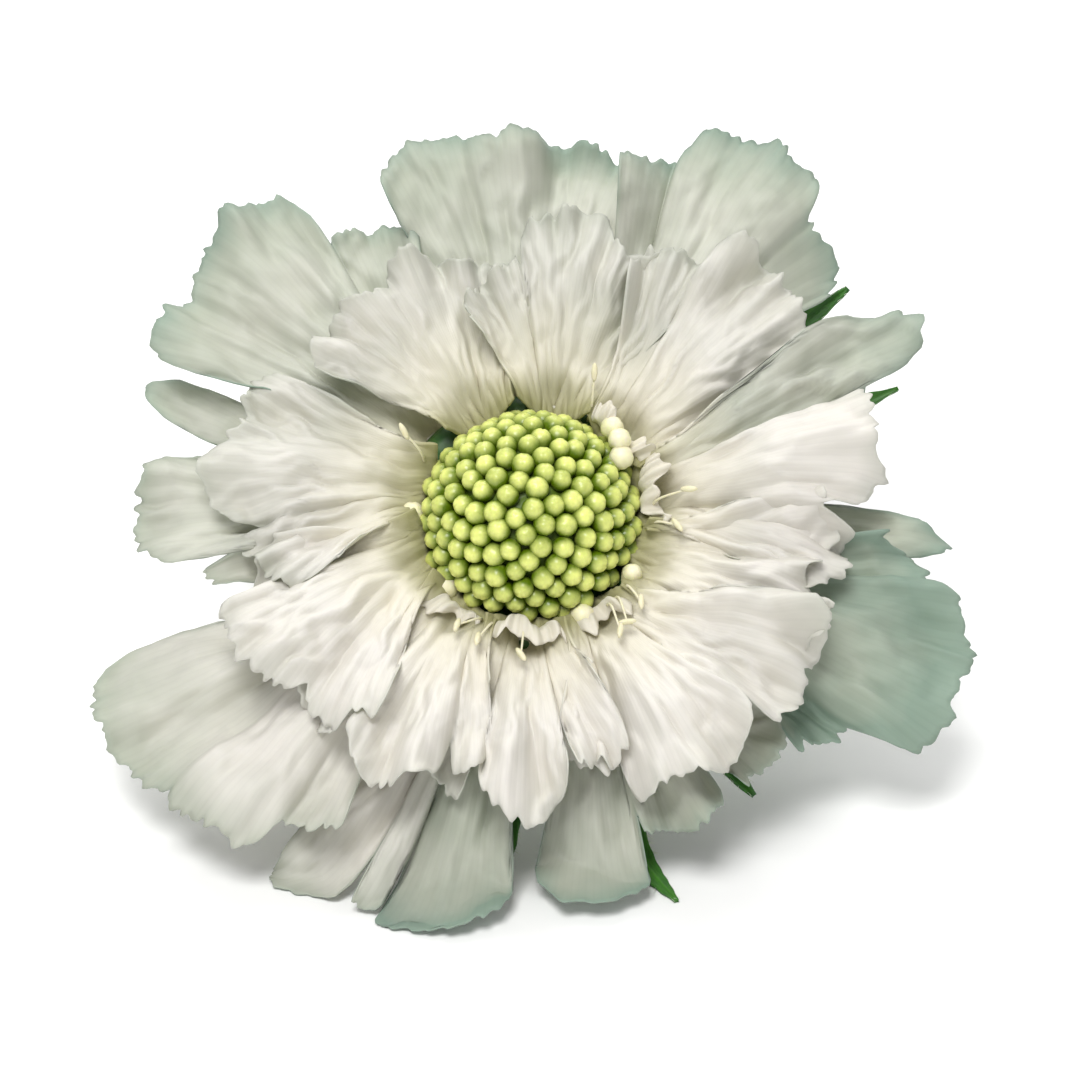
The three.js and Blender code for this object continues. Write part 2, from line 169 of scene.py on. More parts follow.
# Each bract's bearing and reach. Then how many hairs fringe it, and how many the stem has before those that
# would lie in the surface are left out.
BRACTS = [
    (40, 38), (24, 36.5), (2, 28), (-21, 24), (-46, 29), (-70, 40), (-95, 34),
    (-117, 25), (-146, 26), (-175, 23), (156, 25), (127, 23), (96, 26), (68, 24),
]
BRACT_HAIRS = 70
STEM_HAIRS = 900

# ---- Numbers: repeatable draws, noise and frames ----


def draw(seed):
    """A repeatable draw from 0 to 1: the fraction of a large multiple of the seed's sine."""
    s = np.sin(np.asarray(seed) * 127.1) * 43758.5453
    return s - np.floor(s)


def sway(seed):
    """A repeatable draw from -1 to 1."""
    return 2 * draw(seed) - 1


def noise(x, y, seed):
    """
    Gradient noise, about -1 to 1: slopes drawn at whole numbers, and blended by a quintic between the four
    round a point.
    """
    i, j = np.floor(x), np.floor(y)
    f, g = x - i, y - j
    wx = f**3 * (f * (6 * f - 15) + 10)
    wy = g**3 * (g * (6 * g - 15) + 10)

    def corner(a, b):
        """The height that the slope of one corner gives the point."""
        turn = TAU * draw((i + a) * 0.37 + (j + b) * 1.713 + seed * 0.531)
        return np.cos(turn) * (f - a) + np.sin(turn) * (g - b)

    low = corner(0, 0) * (1 - wx) + corner(1, 0) * wx
    high = corner(0, 1) * (1 - wx) + corner(1, 1) * wx
    return 1.6 * (low * (1 - wy) + high * wy)


def smoothstep(x, low, high):
    """0 below low, 1 above high, and a cubic between them."""
    t = np.clip((x - low) / (high - low), 0, 1)
    return t * t * (3 - 2 * t)


def vec(x, y, z):
    """Three arrays, spread to one shape, as points."""
    return np.stack(np.broadcast_arrays(x, y, z), -1).astype(float)


def toward(bearing):
    """The unit vector in the head's plane at a bearing in radians."""
    return vec(np.cos(bearing), np.sin(bearing), 0)


def unit(a):
    """Vectors brought to length 1."""
    return a / np.maximum(np.linalg.norm(a, axis=-1, keepdims=True), 1e-12)


def out_of_head(p):
    """Points of the head's frame in the world: turned about x by the tilt, then moved to its place."""
    x, y, z = p[..., 0], p[..., 1], p[..., 2]
    c, s = math.cos(HEAD_TILT), math.sin(HEAD_TILT)
    return vec(x, y * c - z * s, y * s + z * c) + HEAD_CENTRE


def into_head(p):
    """Points of the world in the head's frame, the reverse of out_of_head."""
    q = p - HEAD_CENTRE
    x, y, z = q[..., 0], q[..., 1], q[..., 2]
    c, s = math.cos(HEAD_TILT), math.sin(HEAD_TILT)
    return vec(x, y * c + z * s, -y * s + z * c)


def laid_on_surface(p, clearance):
    """Points of the head with those below the surface bent to lie along it: height by a soft maximum."""
    softness = 1.4
    world = out_of_head(p)
    world[..., 2] = clearance + softness * np.log1p(np.exp((world[..., 2] - clearance) / softness))
    return into_head(world)


def petal_clearance(p, thickness):
    """How high a petal's middle lies on the surface: more on the right, where bracts lie under it."""
    return thickness / 2 + BRACT_ROOM * smoothstep(out_of_head(p)[..., 0], -12, -3)


# ---- Meshes ----


class Heap:
    """Gathers closed patches into one mesh, each turned so that its faces point outwards."""

    def __init__(self):
        self.points, self.faces, self.uv, self.tone = [], [], [], []
        self.count = 0

    def add(self, points, faces, uv=None, tone=0.0):
        """
        Points (n, 3), faces as a list of index arrays, and uv (n, 2) and tone, one or n numbers, for the
        material.
        """
        points = points.reshape(-1, 3)
        volume = 0
        for f in faces:
            a, b = points[f[:, 0]], points[f[:, 1]]
            for k in range(2, f.shape[1]):
                c = points[f[:, k]]
                volume += np.einsum("ij,ij->", a, np.cross(b, c))
                b = c
        faces = [f[:, ::-1] if volume < 0 else f for f in faces]
        self.points.append(points)
        self.faces += [f + self.count for f in faces]
        self.uv.append(np.zeros((len(points), 2)) if uv is None else uv.reshape(-1, 2))
        self.tone.append(np.broadcast_to(np.asarray(tone, float).reshape(-1), (len(points),)).copy())
        self.count += len(points)

    def add_blade(self, points, thickness, uv, upper, lower):
        """A closed blade round a grid of points, with the tones of its upper and of its lower side."""
        mesh, faces = blade(points, thickness)
        tone = [np.broadcast_to(side, points.shape[:2]).ravel() for side in (upper, lower)]
        self.add(mesh, faces, np.concatenate([uv.reshape(-1, 2)] * 2), np.concatenate(tone))

    def add_band(self, profile, turn, tone, bristle=0):
        """A closed band: a closed profile of distances and heights carried round the head's axis."""
        rings = vec(profile[:, :1] * np.cos(turn), profile[:, :1] * np.sin(turn), profile[:, 1:] + bristle)
        a = np.arange(rings[..., 0].size).reshape(rings.shape[:2])
        b, c = np.roll(a, -1, 1), np.roll(a, -1, 0)
        self.add(rings, [np.stack([a, b, np.roll(c, -1, 1), c], -1).reshape(-1, 4)], tone=tone)

    def piece(self, name, material, in_head=True):
        """The mesh as an object in metres, at the origin; points of the head are put in its place."""
        points = np.concatenate(self.points)
        points = (out_of_head(points) if in_head else points) * MM
        uv, tone = np.concatenate(self.uv), np.concatenate(self.tone)
        loops = np.concatenate([f.ravel() for f in self.faces])
        sizes = np.concatenate([np.full(len(f), f.shape[1]) for f in self.faces])
        mesh = bpy.data.meshes.new(name)
        mesh.vertices.add(len(points))
        mesh.vertices.foreach_set("co", points.ravel())
        mesh.loops.add(len(loops))
        mesh.loops.foreach_set("vertex_index", loops.astype(np.int32))
        mesh.polygons.add(len(sizes))
        mesh.polygons.foreach_set("loop_start", (np.cumsum(sizes) - sizes).astype(np.int32))
        mesh.polygons.foreach_set("use_smooth", np.ones(len(sizes), bool))
        mesh.uv_layers.new(name="Surface").uv.foreach_set("vector", uv[loops].astype(np.float32).ravel())
        mesh.attributes.new("tone", "FLOAT", "POINT").data.foreach_set("value", tone.astype(np.float32))
        mesh.update(calc_edges=True)
        if mesh.validate():
            raise RuntimeError(f"{name} has faces that Blender can't keep")
        mesh.materials.append(material)
        made = bpy.data.objects.new(name, mesh)
        bpy.context.scene.collection.objects.link(made)
        return made


def grid_faces(rows, cols):
    """The squares of a grid of rows by cols points."""
    a = np.arange(rows * cols).reshape(rows, cols)
    return np.stack([a[:-1, :-1], a[1:, :-1], a[1:, 1:], a[:-1, 1:]], -1).reshape(-1, 4)


def blade(points, thickness):
    """
    A closed blade round a grid of points: the grid moved by half the thickness to either side along its
    normals, with a strip round the rim. Returns the points and the faces.
    """
    rows, cols = points.shape[:2]
    normal = unit(np.cross(np.gradient(points, axis=0), np.gradient(points, axis=1)))
    half = np.broadcast_to(np.asarray(thickness) / 2, (rows, cols))[..., None]
    both = np.concatenate([(points + side * half * normal).reshape(-1, 3) for side in (1, -1)])
    top = grid_faces(rows, cols)
    a = np.arange(rows * cols).reshape(rows, cols)
    rim = np.concatenate([a[:-1, 0], a[-1, :-1], a[:0:-1, -1], a[0, :0:-1]])
    after = np.roll(rim, -1)
    count = rows * cols
    strip = np.stack([after, rim, rim + count, after + count], -1)
    return both, [top, top[:, ::-1] + count, strip]


def ring_faces(rows, cols):
    """The squares of rows rings of cols points each, closed round each ring."""
    a = np.arange(rows * cols).reshape(rows, cols)
    b = np.roll(a, -1, 1)
    return np.stack([a[:-1], b[:-1], b[1:], a[1:]], -1).reshape(-1, 4)


def capped(rings, start, end):
    """Rings (rows, cols, 3) closed by a point at either end: the points, and squares and end triangles."""
    rows, cols = rings.shape[:2]
    points = np.concatenate([rings.reshape(-1, 3), [start, end]])
    first = np.arange(cols)
    last = first + (rows - 1) * cols
    low = np.stack([np.roll(first, -1), first, np.full(cols, rows * cols)], -1)
    high = np.stack([last, np.roll(last, -1), np.full(cols, rows * cols + 1)], -1)
    return points, [ring_faces(rows, cols), np.concatenate([low, high])]


def repeated(faces, count, size):
    """Faces of one shape of size points, for count copies of it in a row."""
    steps = np.arange(count)[:, None, None] * size
    return [(f[None] + steps).reshape(-1, f.shape[1]) for f in faces]


def frames_along(path):
    """Tangent and two normals along a path: the first normal is carried from point to point untwisted."""
    tangent = unit(np.gradient(path, axis=0))
    guess = np.array([1.0, 0.2, 0.1]) if abs(tangent[0, 0]) < 0.9 else np.array([0.0, 1.0, 0.0])
    normals = []
    for t in tangent:
        guess = guess - t * (guess @ t)
        guess /= np.linalg.norm(guess)
        normals.append(guess)
    normal = np.array(normals)
    return tangent, normal, np.cross(tangent, normal)


def tube(path, radius, sides):
    """A closed tube: at each point of the path a ring of the radius there, which may vary round it."""
    _, a, b = frames_along(path)
    turn = np.linspace(0, TAU, sides, endpoint=False)
    radius = np.broadcast_to(np.asarray(radius, float), (len(path), sides))[..., None]
    ring = a[:, None] * np.cos(turn)[:, None] + b[:, None] * np.sin(turn)[:, None]
    return capped(path[:, None] + radius * ring, path[0], path[-1])


def smooth_path(stops, count):
    """
    A path through the stops with even spacing: cubic pieces whose slope at each stop is that of the stops
    on either side of it.
    """
    stops = np.asarray(stops, float)
    at = np.concatenate([[0], np.cumsum(np.linalg.norm(np.diff(stops, axis=0), axis=1))])
    slope = np.gradient(stops, at, axis=0)
    s = np.linspace(0, at[-1], count)
    k = np.clip(np.searchsorted(at, s, side="right") - 1, 0, len(at) - 2)
    h = (at[k + 1] - at[k])[:, None]
    t = ((s - at[k]) / h[:, 0])[:, None]
    return (
        stops[k] * (1 + 2 * t) * (1 - t) ** 2
        + slope[k] * h * t * (1 - t) ** 2
        + stops[k + 1] * t * t * (3 - 2 * t)
        + slope[k + 1] * h * t * t * (t - 1)
    )


# ---- Petals ----


def limb_height(whorl, axis, seed, s, phi):
    """
    The height of a floret over the head's plane at a distance s and an angle phi from its throat: an arch,
    folds that fan out from the throat, and a lean to one side.
    """
    sag = SAG * (1 - math.sin(axis)) / 2
    rise = math.tan(math.radians(whorl["rise"] + 5 * sway(seed + 0.81)))
    fall = math.tan(math.radians(whorl["fall"] - sag + 5 * sway(seed + 0.83)))
    lean = math.tan(math.radians(SHINGLE))
    fold = whorl["fold"] * (0.8 + 0.4 * draw(seed + 0.85))
    folds = 9.5 + 2.5 * draw(seed + 0.87)
    phase = TAU * draw(seed + 0.89)
    t = s / whorl["span"]
    arch = s * (rise + 0.5 * (fall - rise) * t)
    return arch + fold * t * np.sin(folds * phi + phase) + lean * s * np.sin(phi)


def petal_relief(s, phi, x, y, edge, looks, seed):
    """
    The fine shape of a petal, as a height in mm: pleats and finer pleats that fan out from the throat,
    crumples, sharp creases, and a ruffle that grows towards the edge.
    """
    wander = noise(s / 8, phi * 4, seed + 1)
    opened = smoothstep(s, 0, 10)
    strength = np.clip(0.5 + 0.9 * noise(phi * 5 + 3, s / 12, seed + 5), 0, 2)
    pleats = looks["pleat"] * strength * np.sin(looks["pleats"] * phi + 2.2 * wander + seed)
    fine = 0.5 * looks["pleat"] * np.sin(2.9 * looks["pleats"] * phi + 3 * wander) * smoothstep(s, 4, 16)
    folds = 1.2 * noise(3.4 * phi + 0.6 * wander, s / 15 + 2, seed + 2) * (0.4 + s / 20)
    crumple = 0.7 * noise(x / 3.2, y / 7, seed + 13)
    bend = 0.5 * noise(x / 3, y / 3, seed + 11)
    crease = 1.1 * (0.35 - np.abs(noise(phi * 5.5 + bend, s / 11 + 4, seed + 3)))
    crease = crease + 0.3 * (0.35 - np.abs(noise(x / 2.3 + bend, y / 5 + bend, seed + 6)))
    ruffle = looks["ruffle"] * edge * noise(phi * looks["pleats"] * 0.2, s / 9, seed + 4) * 1.8
    puckers = 0.5 * looks["crumple"] * noise(x / 1.3 + bend, y / 2.6 + wander, seed + 14) * (1 - opened)
    long_shape = pleats + fine + looks["crumple"] * (folds + crumple + crease) + ruffle
    return (0.1 + 0.9 * opened) * long_shape + puckers


def limb(whorl, axis, tips, slit, mouth, seed, looks):
    """
    A floret's limb, one sheet that fans out from the throat and ends in three broad lobes. Its length in
    each direction is that of the longest of three rounded arches, less a slit where two meet, and its end
    is toothed. The side lobes lie lower than the middle one, each is cupped, the mouth is a hollow at the
    throat, and the relief is added along the head's axis. Returns the grid of points, its thickness and uv,
    how near each point is to the margin, and how much of it belongs to each lobe.
    """
    root = whorl["radius"] * toward(axis)
    root[2] = whorl["height"]
    away = np.array(tips)[:, :2] - root[:2]
    length = np.hypot(*away.T)
    bearing = (np.arctan2(away[:, 1], away[:, 0]) - axis + math.pi) % TAU - math.pi
    order = np.argsort(bearing)
    length, bearing, wide = length[order], bearing[order], np.array(tips)[order, 2]
    half = wide / (0.8 * length)
    first, last = bearing[0] - half[0], bearing[2] + half[2]

    # Across the sheet: each column's direction, how far it is from each lobe's middle, and how long it is.
    cols, rows = LIMB_GRID
    phi = np.linspace(first, last, cols)
    q = np.minimum(np.abs(phi - bearing[:, None]) / half[:, None], 1)
    parted = 0.35 + 0.65 * min(slit / 3, 1)
    pointed = 0.34 * np.clip((0.2 - wide / length) / 0.07, 0, 1)[:, None]
    rounded = looks["arch"] * q**2.4 + looks["corner"] * q**12
    arches = length[:, None] * (1 - pointed * q**1.5 - parted * rounded)
    reach = arches.max(0)
    weight = np.exp(1.5 * (arches - reach))
    weight /= weight.sum(0)
    reach = reach - slit * weight[1] * (1 - weight[1]) * 4
    arc = phi * length.mean()
    teeth = np.abs(np.sin(2.3 * arc + 2.5 * noise(arc / 2, 0 * arc, seed + 7)))
    nicks = noise(arc / 0.7, 0 * arc + 0.5, seed + 8) + 1.9 * noise(arc / 3.8, 0 * arc + 0.5, seed + 9)
    ragged = looks["teeth"] * (teeth * 0.8 + nicks)
    cupped = (weight * (1 - q * q) * np.array([[-0.7], [1.0], [-0.7]])).sum(0)
    v = np.linspace(0, 1, rows)[:, None]

    # Along it: the claw is as wide as the throat, and the fan takes over from there.
    s = reach * v + ragged * v**6 - looks["claw_in"] * (1 - v) ** 6
    w = 2 * (phi - first) / (last - first) - 1 + 0 * v
    x = s * np.sin(phi) + looks["claw"] * w * np.exp(-s / 7)
    y = s * np.cos(phi)
    edge = np.clip(np.maximum(np.abs(w) ** 10 * smoothstep(v, 0.2, 0.7), v**4), 0, 1)
    margin = np.clip(np.maximum(np.abs(w) ** 30 * smoothstep(v, 0.4, 0.8), v**11), 0, 1)
    step = (1 - weight[1]) * smoothstep(v, 0, 0.5)
    gutter = looks["gutter"] * w * w * np.exp(-s / 4.5)
    hollow = mouth * np.exp(-(((s - 0.6) / 1.5) ** 2) - (x / 1.4) ** 2)
    lift = limb_height(whorl, axis, seed, s, phi) - LOBE_STEP * step + 0.9 * cupped * v + gutter - hollow
    relief = petal_relief(s, phi, x, y, edge, looks, seed)
    out, aside = toward(axis), np.array([-math.sin(axis), math.cos(axis), 0])
    points = root + out * y[..., None] + aside * x[..., None]
    points[..., 2] += lift + relief
    clearance = petal_clearance(points, looks["thickness"]) + 0.15 * np.hypot(relief, 0.4)
    points = laid_on_surface(points, clearance)
    thickness = looks["thickness"] * (1 - 0.55 * edge)
    uv = np.stack(np.broadcast_arrays(phi, s), -1)
    return points, thickness, uv, margin, weight[:, None] + 0 * v


def lip(axis, whorl, height, seed, looks):
    """
    The dome's side of a floret's mouth, which ends in its two small lobes: a half funnel, oval from above,
    that widens as it rises, leans out over the throat towards its rim, and is notched between the lobes.
    Returns the grid of points, its thickness and uv.
    """
    u, v = np.meshgrid(np.linspace(-1, 1, 73), np.linspace(0, 1, 29))
    outward = toward(axis)
    tangent = vec(-outward[1], outward[0], 0)
    turn = math.radians(96) * u
    lobes = 1 - 0.4 * np.exp(-(((u - 0.3 * sway(seed)) / 0.17) ** 2)) - 0.5 * np.abs(u) ** 3
    rim = lobes + 0.35 * noise(u * 2.2, 0 * u, seed + 0.9) + 0.16 * noise(u * 8, 0 * u, seed + 0.6)
    slow = 1.1 * v * noise(u * 2.2 + 5, v * 1.5, seed + 0.7)
    wave = slow + 0.9 * v**1.5 * noise(u * 5, v * 2, seed + 0.8)
    across = (1.3 + 1.7 * v**0.8 + 0.5 * v**4) * np.sin(turn)
    inward = (0.55 + 0.45 * v - 0.6 * v**3) * np.cos(turn)
    lean = (0.8 + 1.8 * draw(seed + 0.4)) * v**3 - 0.22 * height * smoothstep(v, 0.2, 0.9)
    out = whorl["radius"] - 0.35 - inward + lean + wave
    points = outward * out[..., None] + tangent * across[..., None]
    points[..., 2] = whorl["height"] - 1.6 + (height + 0.9) * v * rim * (1 - 0.2 * v**4) + 0.4 * wave
    return points, looks["thickness"] * (0.8 - 0.5 * v), np.stack([u * 0.12, 2.6 + 0.4 * v], -1)


def floret_tube(axis, whorl):
    """A floret's tube: it leaves the receptacle narrow, widens to the throat and passes under the lobes."""
    t = np.linspace(0, 1, 12)
    r = TUBE_ROOT[0] + (whorl["radius"] + 0.6 - TUBE_ROOT[0]) * t
    path = r[:, None] * toward(axis)
    path[:, 2] = TUBE_ROOT[1] + (whorl["height"] - 2.4 - TUBE_ROOT[1]) * t**1.3
    ribs = 1 + 0.07 * np.cos(5 * np.linspace(0, TAU, 16, endpoint=False))
    return tube(path, (0.75 + 0.95 * t**1.6)[:, None] * ribs, 16)


def stand_for(node, *pieces):
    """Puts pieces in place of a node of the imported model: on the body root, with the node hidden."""
    for piece in pieces:
        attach(piece, "root")
        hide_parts(node)


def make_florets(names, florets, whorl, node, looks, tones, slits, lips, material):
    """One piece for each floret of a whorl, with its broad lobes, its tube and its lip, if it has one."""
    for k, (at, *tips) in enumerate(florets):
        axis = math.radians(at)
        seed = whorl["seed"] + 10 * k
        heap = Heap()
        mouth = MOUTH_DEPTH + MOUTH_PER_LIP * lips[k]
        points, thickness, uv, margin, shares = limb(whorl, axis, tips, slits[k], mouth, seed, looks)
        # Tone: per lobe, more at the margin and towards the end, and more on the lower side. It is partly
        # the petals' own green and partly painted shade, on the lobes that lie in shade and along the
        # margins.
        green = np.tensordot(np.broadcast_to(tones[k], 3), shares, 1) + looks["margin"] * margin
        green = green + END_GREEN * smoothstep(uv[..., 1], END_GREEN_FROM, END_GREEN_TO)
        heap.add_blade(points, thickness, uv, green, green + 0.2)
        mesh, faces = floret_tube(axis, whorl)
        heap.add(mesh, faces, np.broadcast_to([0.0, 4.0], (len(mesh), 2)), 0.35)
        if lips[k]:
            points, thickness, uv = lip(axis, whorl, lips[k], seed + 3, looks)
            heap.add_blade(points, thickness, uv, 0.0, 0.0)
        stand_for(node, heap.piece(f"{names}_{k + 1}", material))


# ---- Materials ----


def add_node(material, kind, settings=None, **links):
    """
    Adds a node to a material. Settings are properties of the node, or of an input where the key is its
    name or number. Each link is an output socket, or a node for its first one, and goes to the input of
    that name, or of the number after an i.
    """
    tree = material.node_tree
    node = tree.nodes.new(kind)
    for key, value in (settings or {}).items():
        if isinstance(key, str) and hasattr(node, key):
            setattr(node, key, value)
        else:
            node.inputs[key].default_value = value
    for key, source in links.items():
        if isinstance(source, bpy.types.Node):
            source = source.outputs[0]
        numbered = key[0] == "i" and key[1:].isdigit()
        tree.links.new(source, node.inputs[int(key[1:]) if numbered else key.replace("_", " ")])
    return node


def new_material(name):
    """An empty node material."""
    m = bpy.data.materials.new(name)
    m.use_nodes = True
    m.node_tree.nodes.clear()
    return m


def mottled_tone(m, pattern, low, high, loss, gain):
    """
    The mesh's tone with a pattern in it, kept from 0 to 1: it loses up to one amount where the pattern is
    low, and gains up to the other where it is high.
    """
    tone = add_node(m, "ShaderNodeAttribute", {"attribute_name": "tone"}).outputs["Fac"]
    limits = {"From Min": low, "From Max": high, "To Min": -loss, "To Max": gain}
    patch = add_node(m, "ShaderNodeMapRange", limits, Value=pattern)
    return add_node(m, "ShaderNodeMath", {"operation": "ADD", "use_clamp": True}, i0=tone, i1=patch)


def petal_material(name, settings):
    """
    Living petal tissue: thin, soft and translucent, with a satin skin, veins that fan out from the throat
    and a creamy base. Greener and darker where tone is high: partly the outer petals' own green, partly
    painted shade.
    """
    m = new_material(name)
    uv = add_node(m, "ShaderNodeUVMap", {"uv_map": "Surface"})
    place = add_node(m, "ShaderNodeTexCoord").outputs["Object"]
    reach = add_node(m, "ShaderNodeSeparateXYZ", Vector=uv).outputs["Y"]

    # Veins: bands about 1 mm apart halfway along, in the angle from the throat.
    fan = add_node(m, "ShaderNodeMapping", {"Scale": (22.0, 0.06, 1.0)}, Vector=uv)
    streak = add_node(m, "ShaderNodeTexNoise", {"Scale": 1.0, "Detail": 4.0, "Roughness": 0.6}, Vector=fan)
    vein = add_node(
        m, "ShaderNodeTexWave",
        {"wave_profile": "SIN", "bands_direction": "X", "Scale": 0.55, "Distortion": 1.6, "Detail": 2.0,
         "Detail Scale": 0.8},
        Vector=fan,
    ).outputs["Fac"]
    grain = add_node(
        m, "ShaderNodeTexNoise", {"Scale": 900.0, "Detail": 1.0, "Roughness": 0.6}, Vector=place
    )
    blotch = add_node(
        m, "ShaderNodeTexNoise", {"Scale": 110.0, "Detail": 3.0, "Roughness": 0.55}, Vector=place
    )

    # Colour: white to grey green to mint by tone and slow blotches, the tone partly the petals' own green
    # and partly painted shade, then creamy at the claw and olive down the throat, the tube's own colour with
    # painted shade in the mouth, within the distances from it that are given, and last a little darker in
    # the veins.
    skin = add_node(m, "ShaderNodeValToRGB", i0=mottled_tone(m, blotch, 0.35, 0.7, 0.1, 0.12))
    ramp = skin.color_ramp.elements
    ramp.new(0.62)
    for stop, shade in zip(ramp, (settings.petal_white, settings.petal_green, settings.petal_mint)):
        stop.color = (*shade, 1)
    for shade, start, end, share in (
        (settings.petal_cream, 0.0, 9.0, 0.75),
        (settings.petal_throat_olive_and_shade, -1.0, 2.6, 0.9),
    ):
        limits = {"From Min": start, "From Max": end, "To Min": share, "To Max": 0.0}
        near = add_node(m, "ShaderNodeMapRange", limits, Value=reach)
        blend = add_node(m, "ShaderNodeMix", {"data_type": "RGBA", 7: (*shade, 1)}, i0=near, i6=skin)
        skin = blend.outputs[2]
    line = add_node(m, "ShaderNodeMapRange", {"From Max": 0.35, "To Min": 0.975}, Value=vein)
    furrow = add_node(
        m, "ShaderNodeMapRange", {"From Min": 0.3, "From Max": 0.7, "To Min": 0.965}, Value=streak
    )
    dim = add_node(m, "ShaderNodeMath", {"operation": "MULTIPLY"}, i0=line, i1=furrow)
    veined = add_node(m, "ShaderNodeVectorMath", {"operation": "SCALE"}, i0=skin, Scale=dim)

    # Bump: veins and streaks about 0.05 mm deep, and the tissue's own grain.
    streaked = add_node(m, "ShaderNodeBump", {"Strength": 0.4, "Distance": 0.00008}, Height=streak)
    ribbed = add_node(
        m, "ShaderNodeBump", {"Strength": 0.2, "Distance": 0.00004}, Height=vein, Normal=streaked
    )
    grained = add_node(
        m, "ShaderNodeBump", {"Strength": 0.25, "Distance": 0.00004}, Height=grain, Normal=ribbed
    )
    satin = add_node(m, "ShaderNodeMapRange", {"To Min": 0.5, "To Max": 0.68}, Value=grain)
    tissue = add_node(
        m, "ShaderNodeBsdfPrincipled",
        {"IOR": 1.4, "Specular IOR Level": 0.3, "Subsurface Weight": 0.2, "Subsurface Scale": 0.001,
         "Subsurface Radius": (1.0, 1.05, 0.85)},
        Base_Color=veined, Roughness=satin, Normal=grained,
    )
    through = add_node(m, "ShaderNodeBsdfTranslucent", Color=veined, Normal=grained)
    petal = add_node(m, "ShaderNodeMixShader", {0: 0.15}, i1=tissue, i2=through)
    add_node(m, "ShaderNodeOutputMaterial", Surface=petal)
    return m


def waxy_material(name, dark, light, scale, roughness):
    """Waxy tissue, such as closed buds: a smooth skin with a soft gloss, mottled from dark to light."""
    m = new_material(name)
    place = add_node(m, "ShaderNodeTexCoord").outputs["Object"]
    spots = add_node(
        m, "ShaderNodeTexNoise", {"Scale": scale, "Detail": 4.0, "Roughness": 0.6}, Vector=place
    )
    shades = {"data_type": "RGBA", 6: (*dark, 1), 7: (*light, 1)}
    skin = add_node(m, "ShaderNodeMix", shades, i0=mottled_tone(m, spots, 0.35, 0.7, 0.15, 0.15))
    fine = add_node(m, "ShaderNodeTexNoise", {"Scale": 4 * scale, "Detail": 2.0}, Vector=place)
    gloss = add_node(
        m, "ShaderNodeMapRange", {"To Min": roughness - 0.08, "To Max": roughness + 0.1}, Value=fine
    )
    bump = add_node(m, "ShaderNodeBump", {"Strength": 0.3, "Distance": 0.00005}, Height=fine)
    tissue = add_node(
        m, "ShaderNodeBsdfPrincipled",
        {"IOR": 1.42, "Subsurface Weight": 0.2, "Subsurface Scale": 0.0006,
         "Subsurface Radius": (0.8, 1.0, 0.4), "Coat Weight": 0.15, "Coat Roughness": 0.3},
        Base_Color=skin.outputs[2], Roughness=gloss, Normal=bump,
    )
    add_node(m, "ShaderNodeOutputMaterial", Surface=tissue)
    return m


def leaf_material(name, dark, light):
    """
    Green leaf tissue with a satin cuticle: paler where tone is high, as along the midrib, with veins that
    run along it and fine mottling.
    """
    m = new_material(name)
    uv = add_node(m, "ShaderNodeUVMap", {"uv_map": "Surface"})
    place = add_node(m, "ShaderNodeTexCoord").outputs["Object"]
    run = add_node(m, "ShaderNodeMapping", {"Scale": (5.0, 0.35, 1.0)}, Vector=uv)
    streak = add_node(m, "ShaderNodeTexNoise", {"Scale": 1.0, "Detail": 4.0, "Roughness": 0.65}, Vector=run)
    spots = add_node(
        m, "ShaderNodeTexNoise", {"Scale": 500.0, "Detail": 4.0, "Roughness": 0.6}, Vector=place
    )
    mixed = add_node(m, "ShaderNodeMath", {"operation": "MULTIPLY"}, i0=streak, i1=spots)
    shades = {"data_type": "RGBA", 6: (*dark, 1), 7: (*light, 1)}
    skin = add_node(m, "ShaderNodeMix", shades, i0=mottled_tone(m, mixed, 0.12, 0.4, 0.3, 0.3))
    gloss = add_node(m, "ShaderNodeMapRange", {"To Min": 0.38, "To Max": 0.58}, Value=spots)
    ribbed = add_node(m, "ShaderNodeBump", {"Strength": 0.5, "Distance": 0.00012}, Height=streak)
    pored = add_node(
        m, "ShaderNodeBump", {"Strength": 0.3, "Distance": 0.00005}, Height=spots, Normal=ribbed
    )
    tissue = add_node(
        m, "ShaderNodeBsdfPrincipled",
        {"IOR": 1.45, "Subsurface Weight": 0.15, "Subsurface Scale": 0.0004,
         "Subsurface Radius": (0.5, 1.0, 0.2)},
        Base_Color=skin.outputs[2], Roughness=gloss, Normal=pored,
    )
    add_node(m, "ShaderNodeOutputMaterial", Surface=tissue)
    return m


def backdrop_material(shade):
    """A sweep painted matt: even, with hardly any gloss."""
    m = new_material("backdrop_matt_paint")
    finish = {"Base Color": (*shade, 1), "Roughness": 0.8, "Specular IOR Level": 0.2}
    paint = add_node(m, "ShaderNodeBsdfPrincipled", finish)
    add_node(m, "ShaderNodeOutputMaterial", Surface=paint)
    return m


# ---- Settings ----


def metres(name, description, default):
    """A length property, in metres."""
    return FloatProperty(name=name, description=description, default=default, unit="LENGTH")


def colour(name, description, code):
    """A colour property whose default is an sRGB hex code."""
    return FloatVectorProperty(
        name=name, description=description, default=linear(code), subtype="COLOR", size=3, min=0, max=1
    )


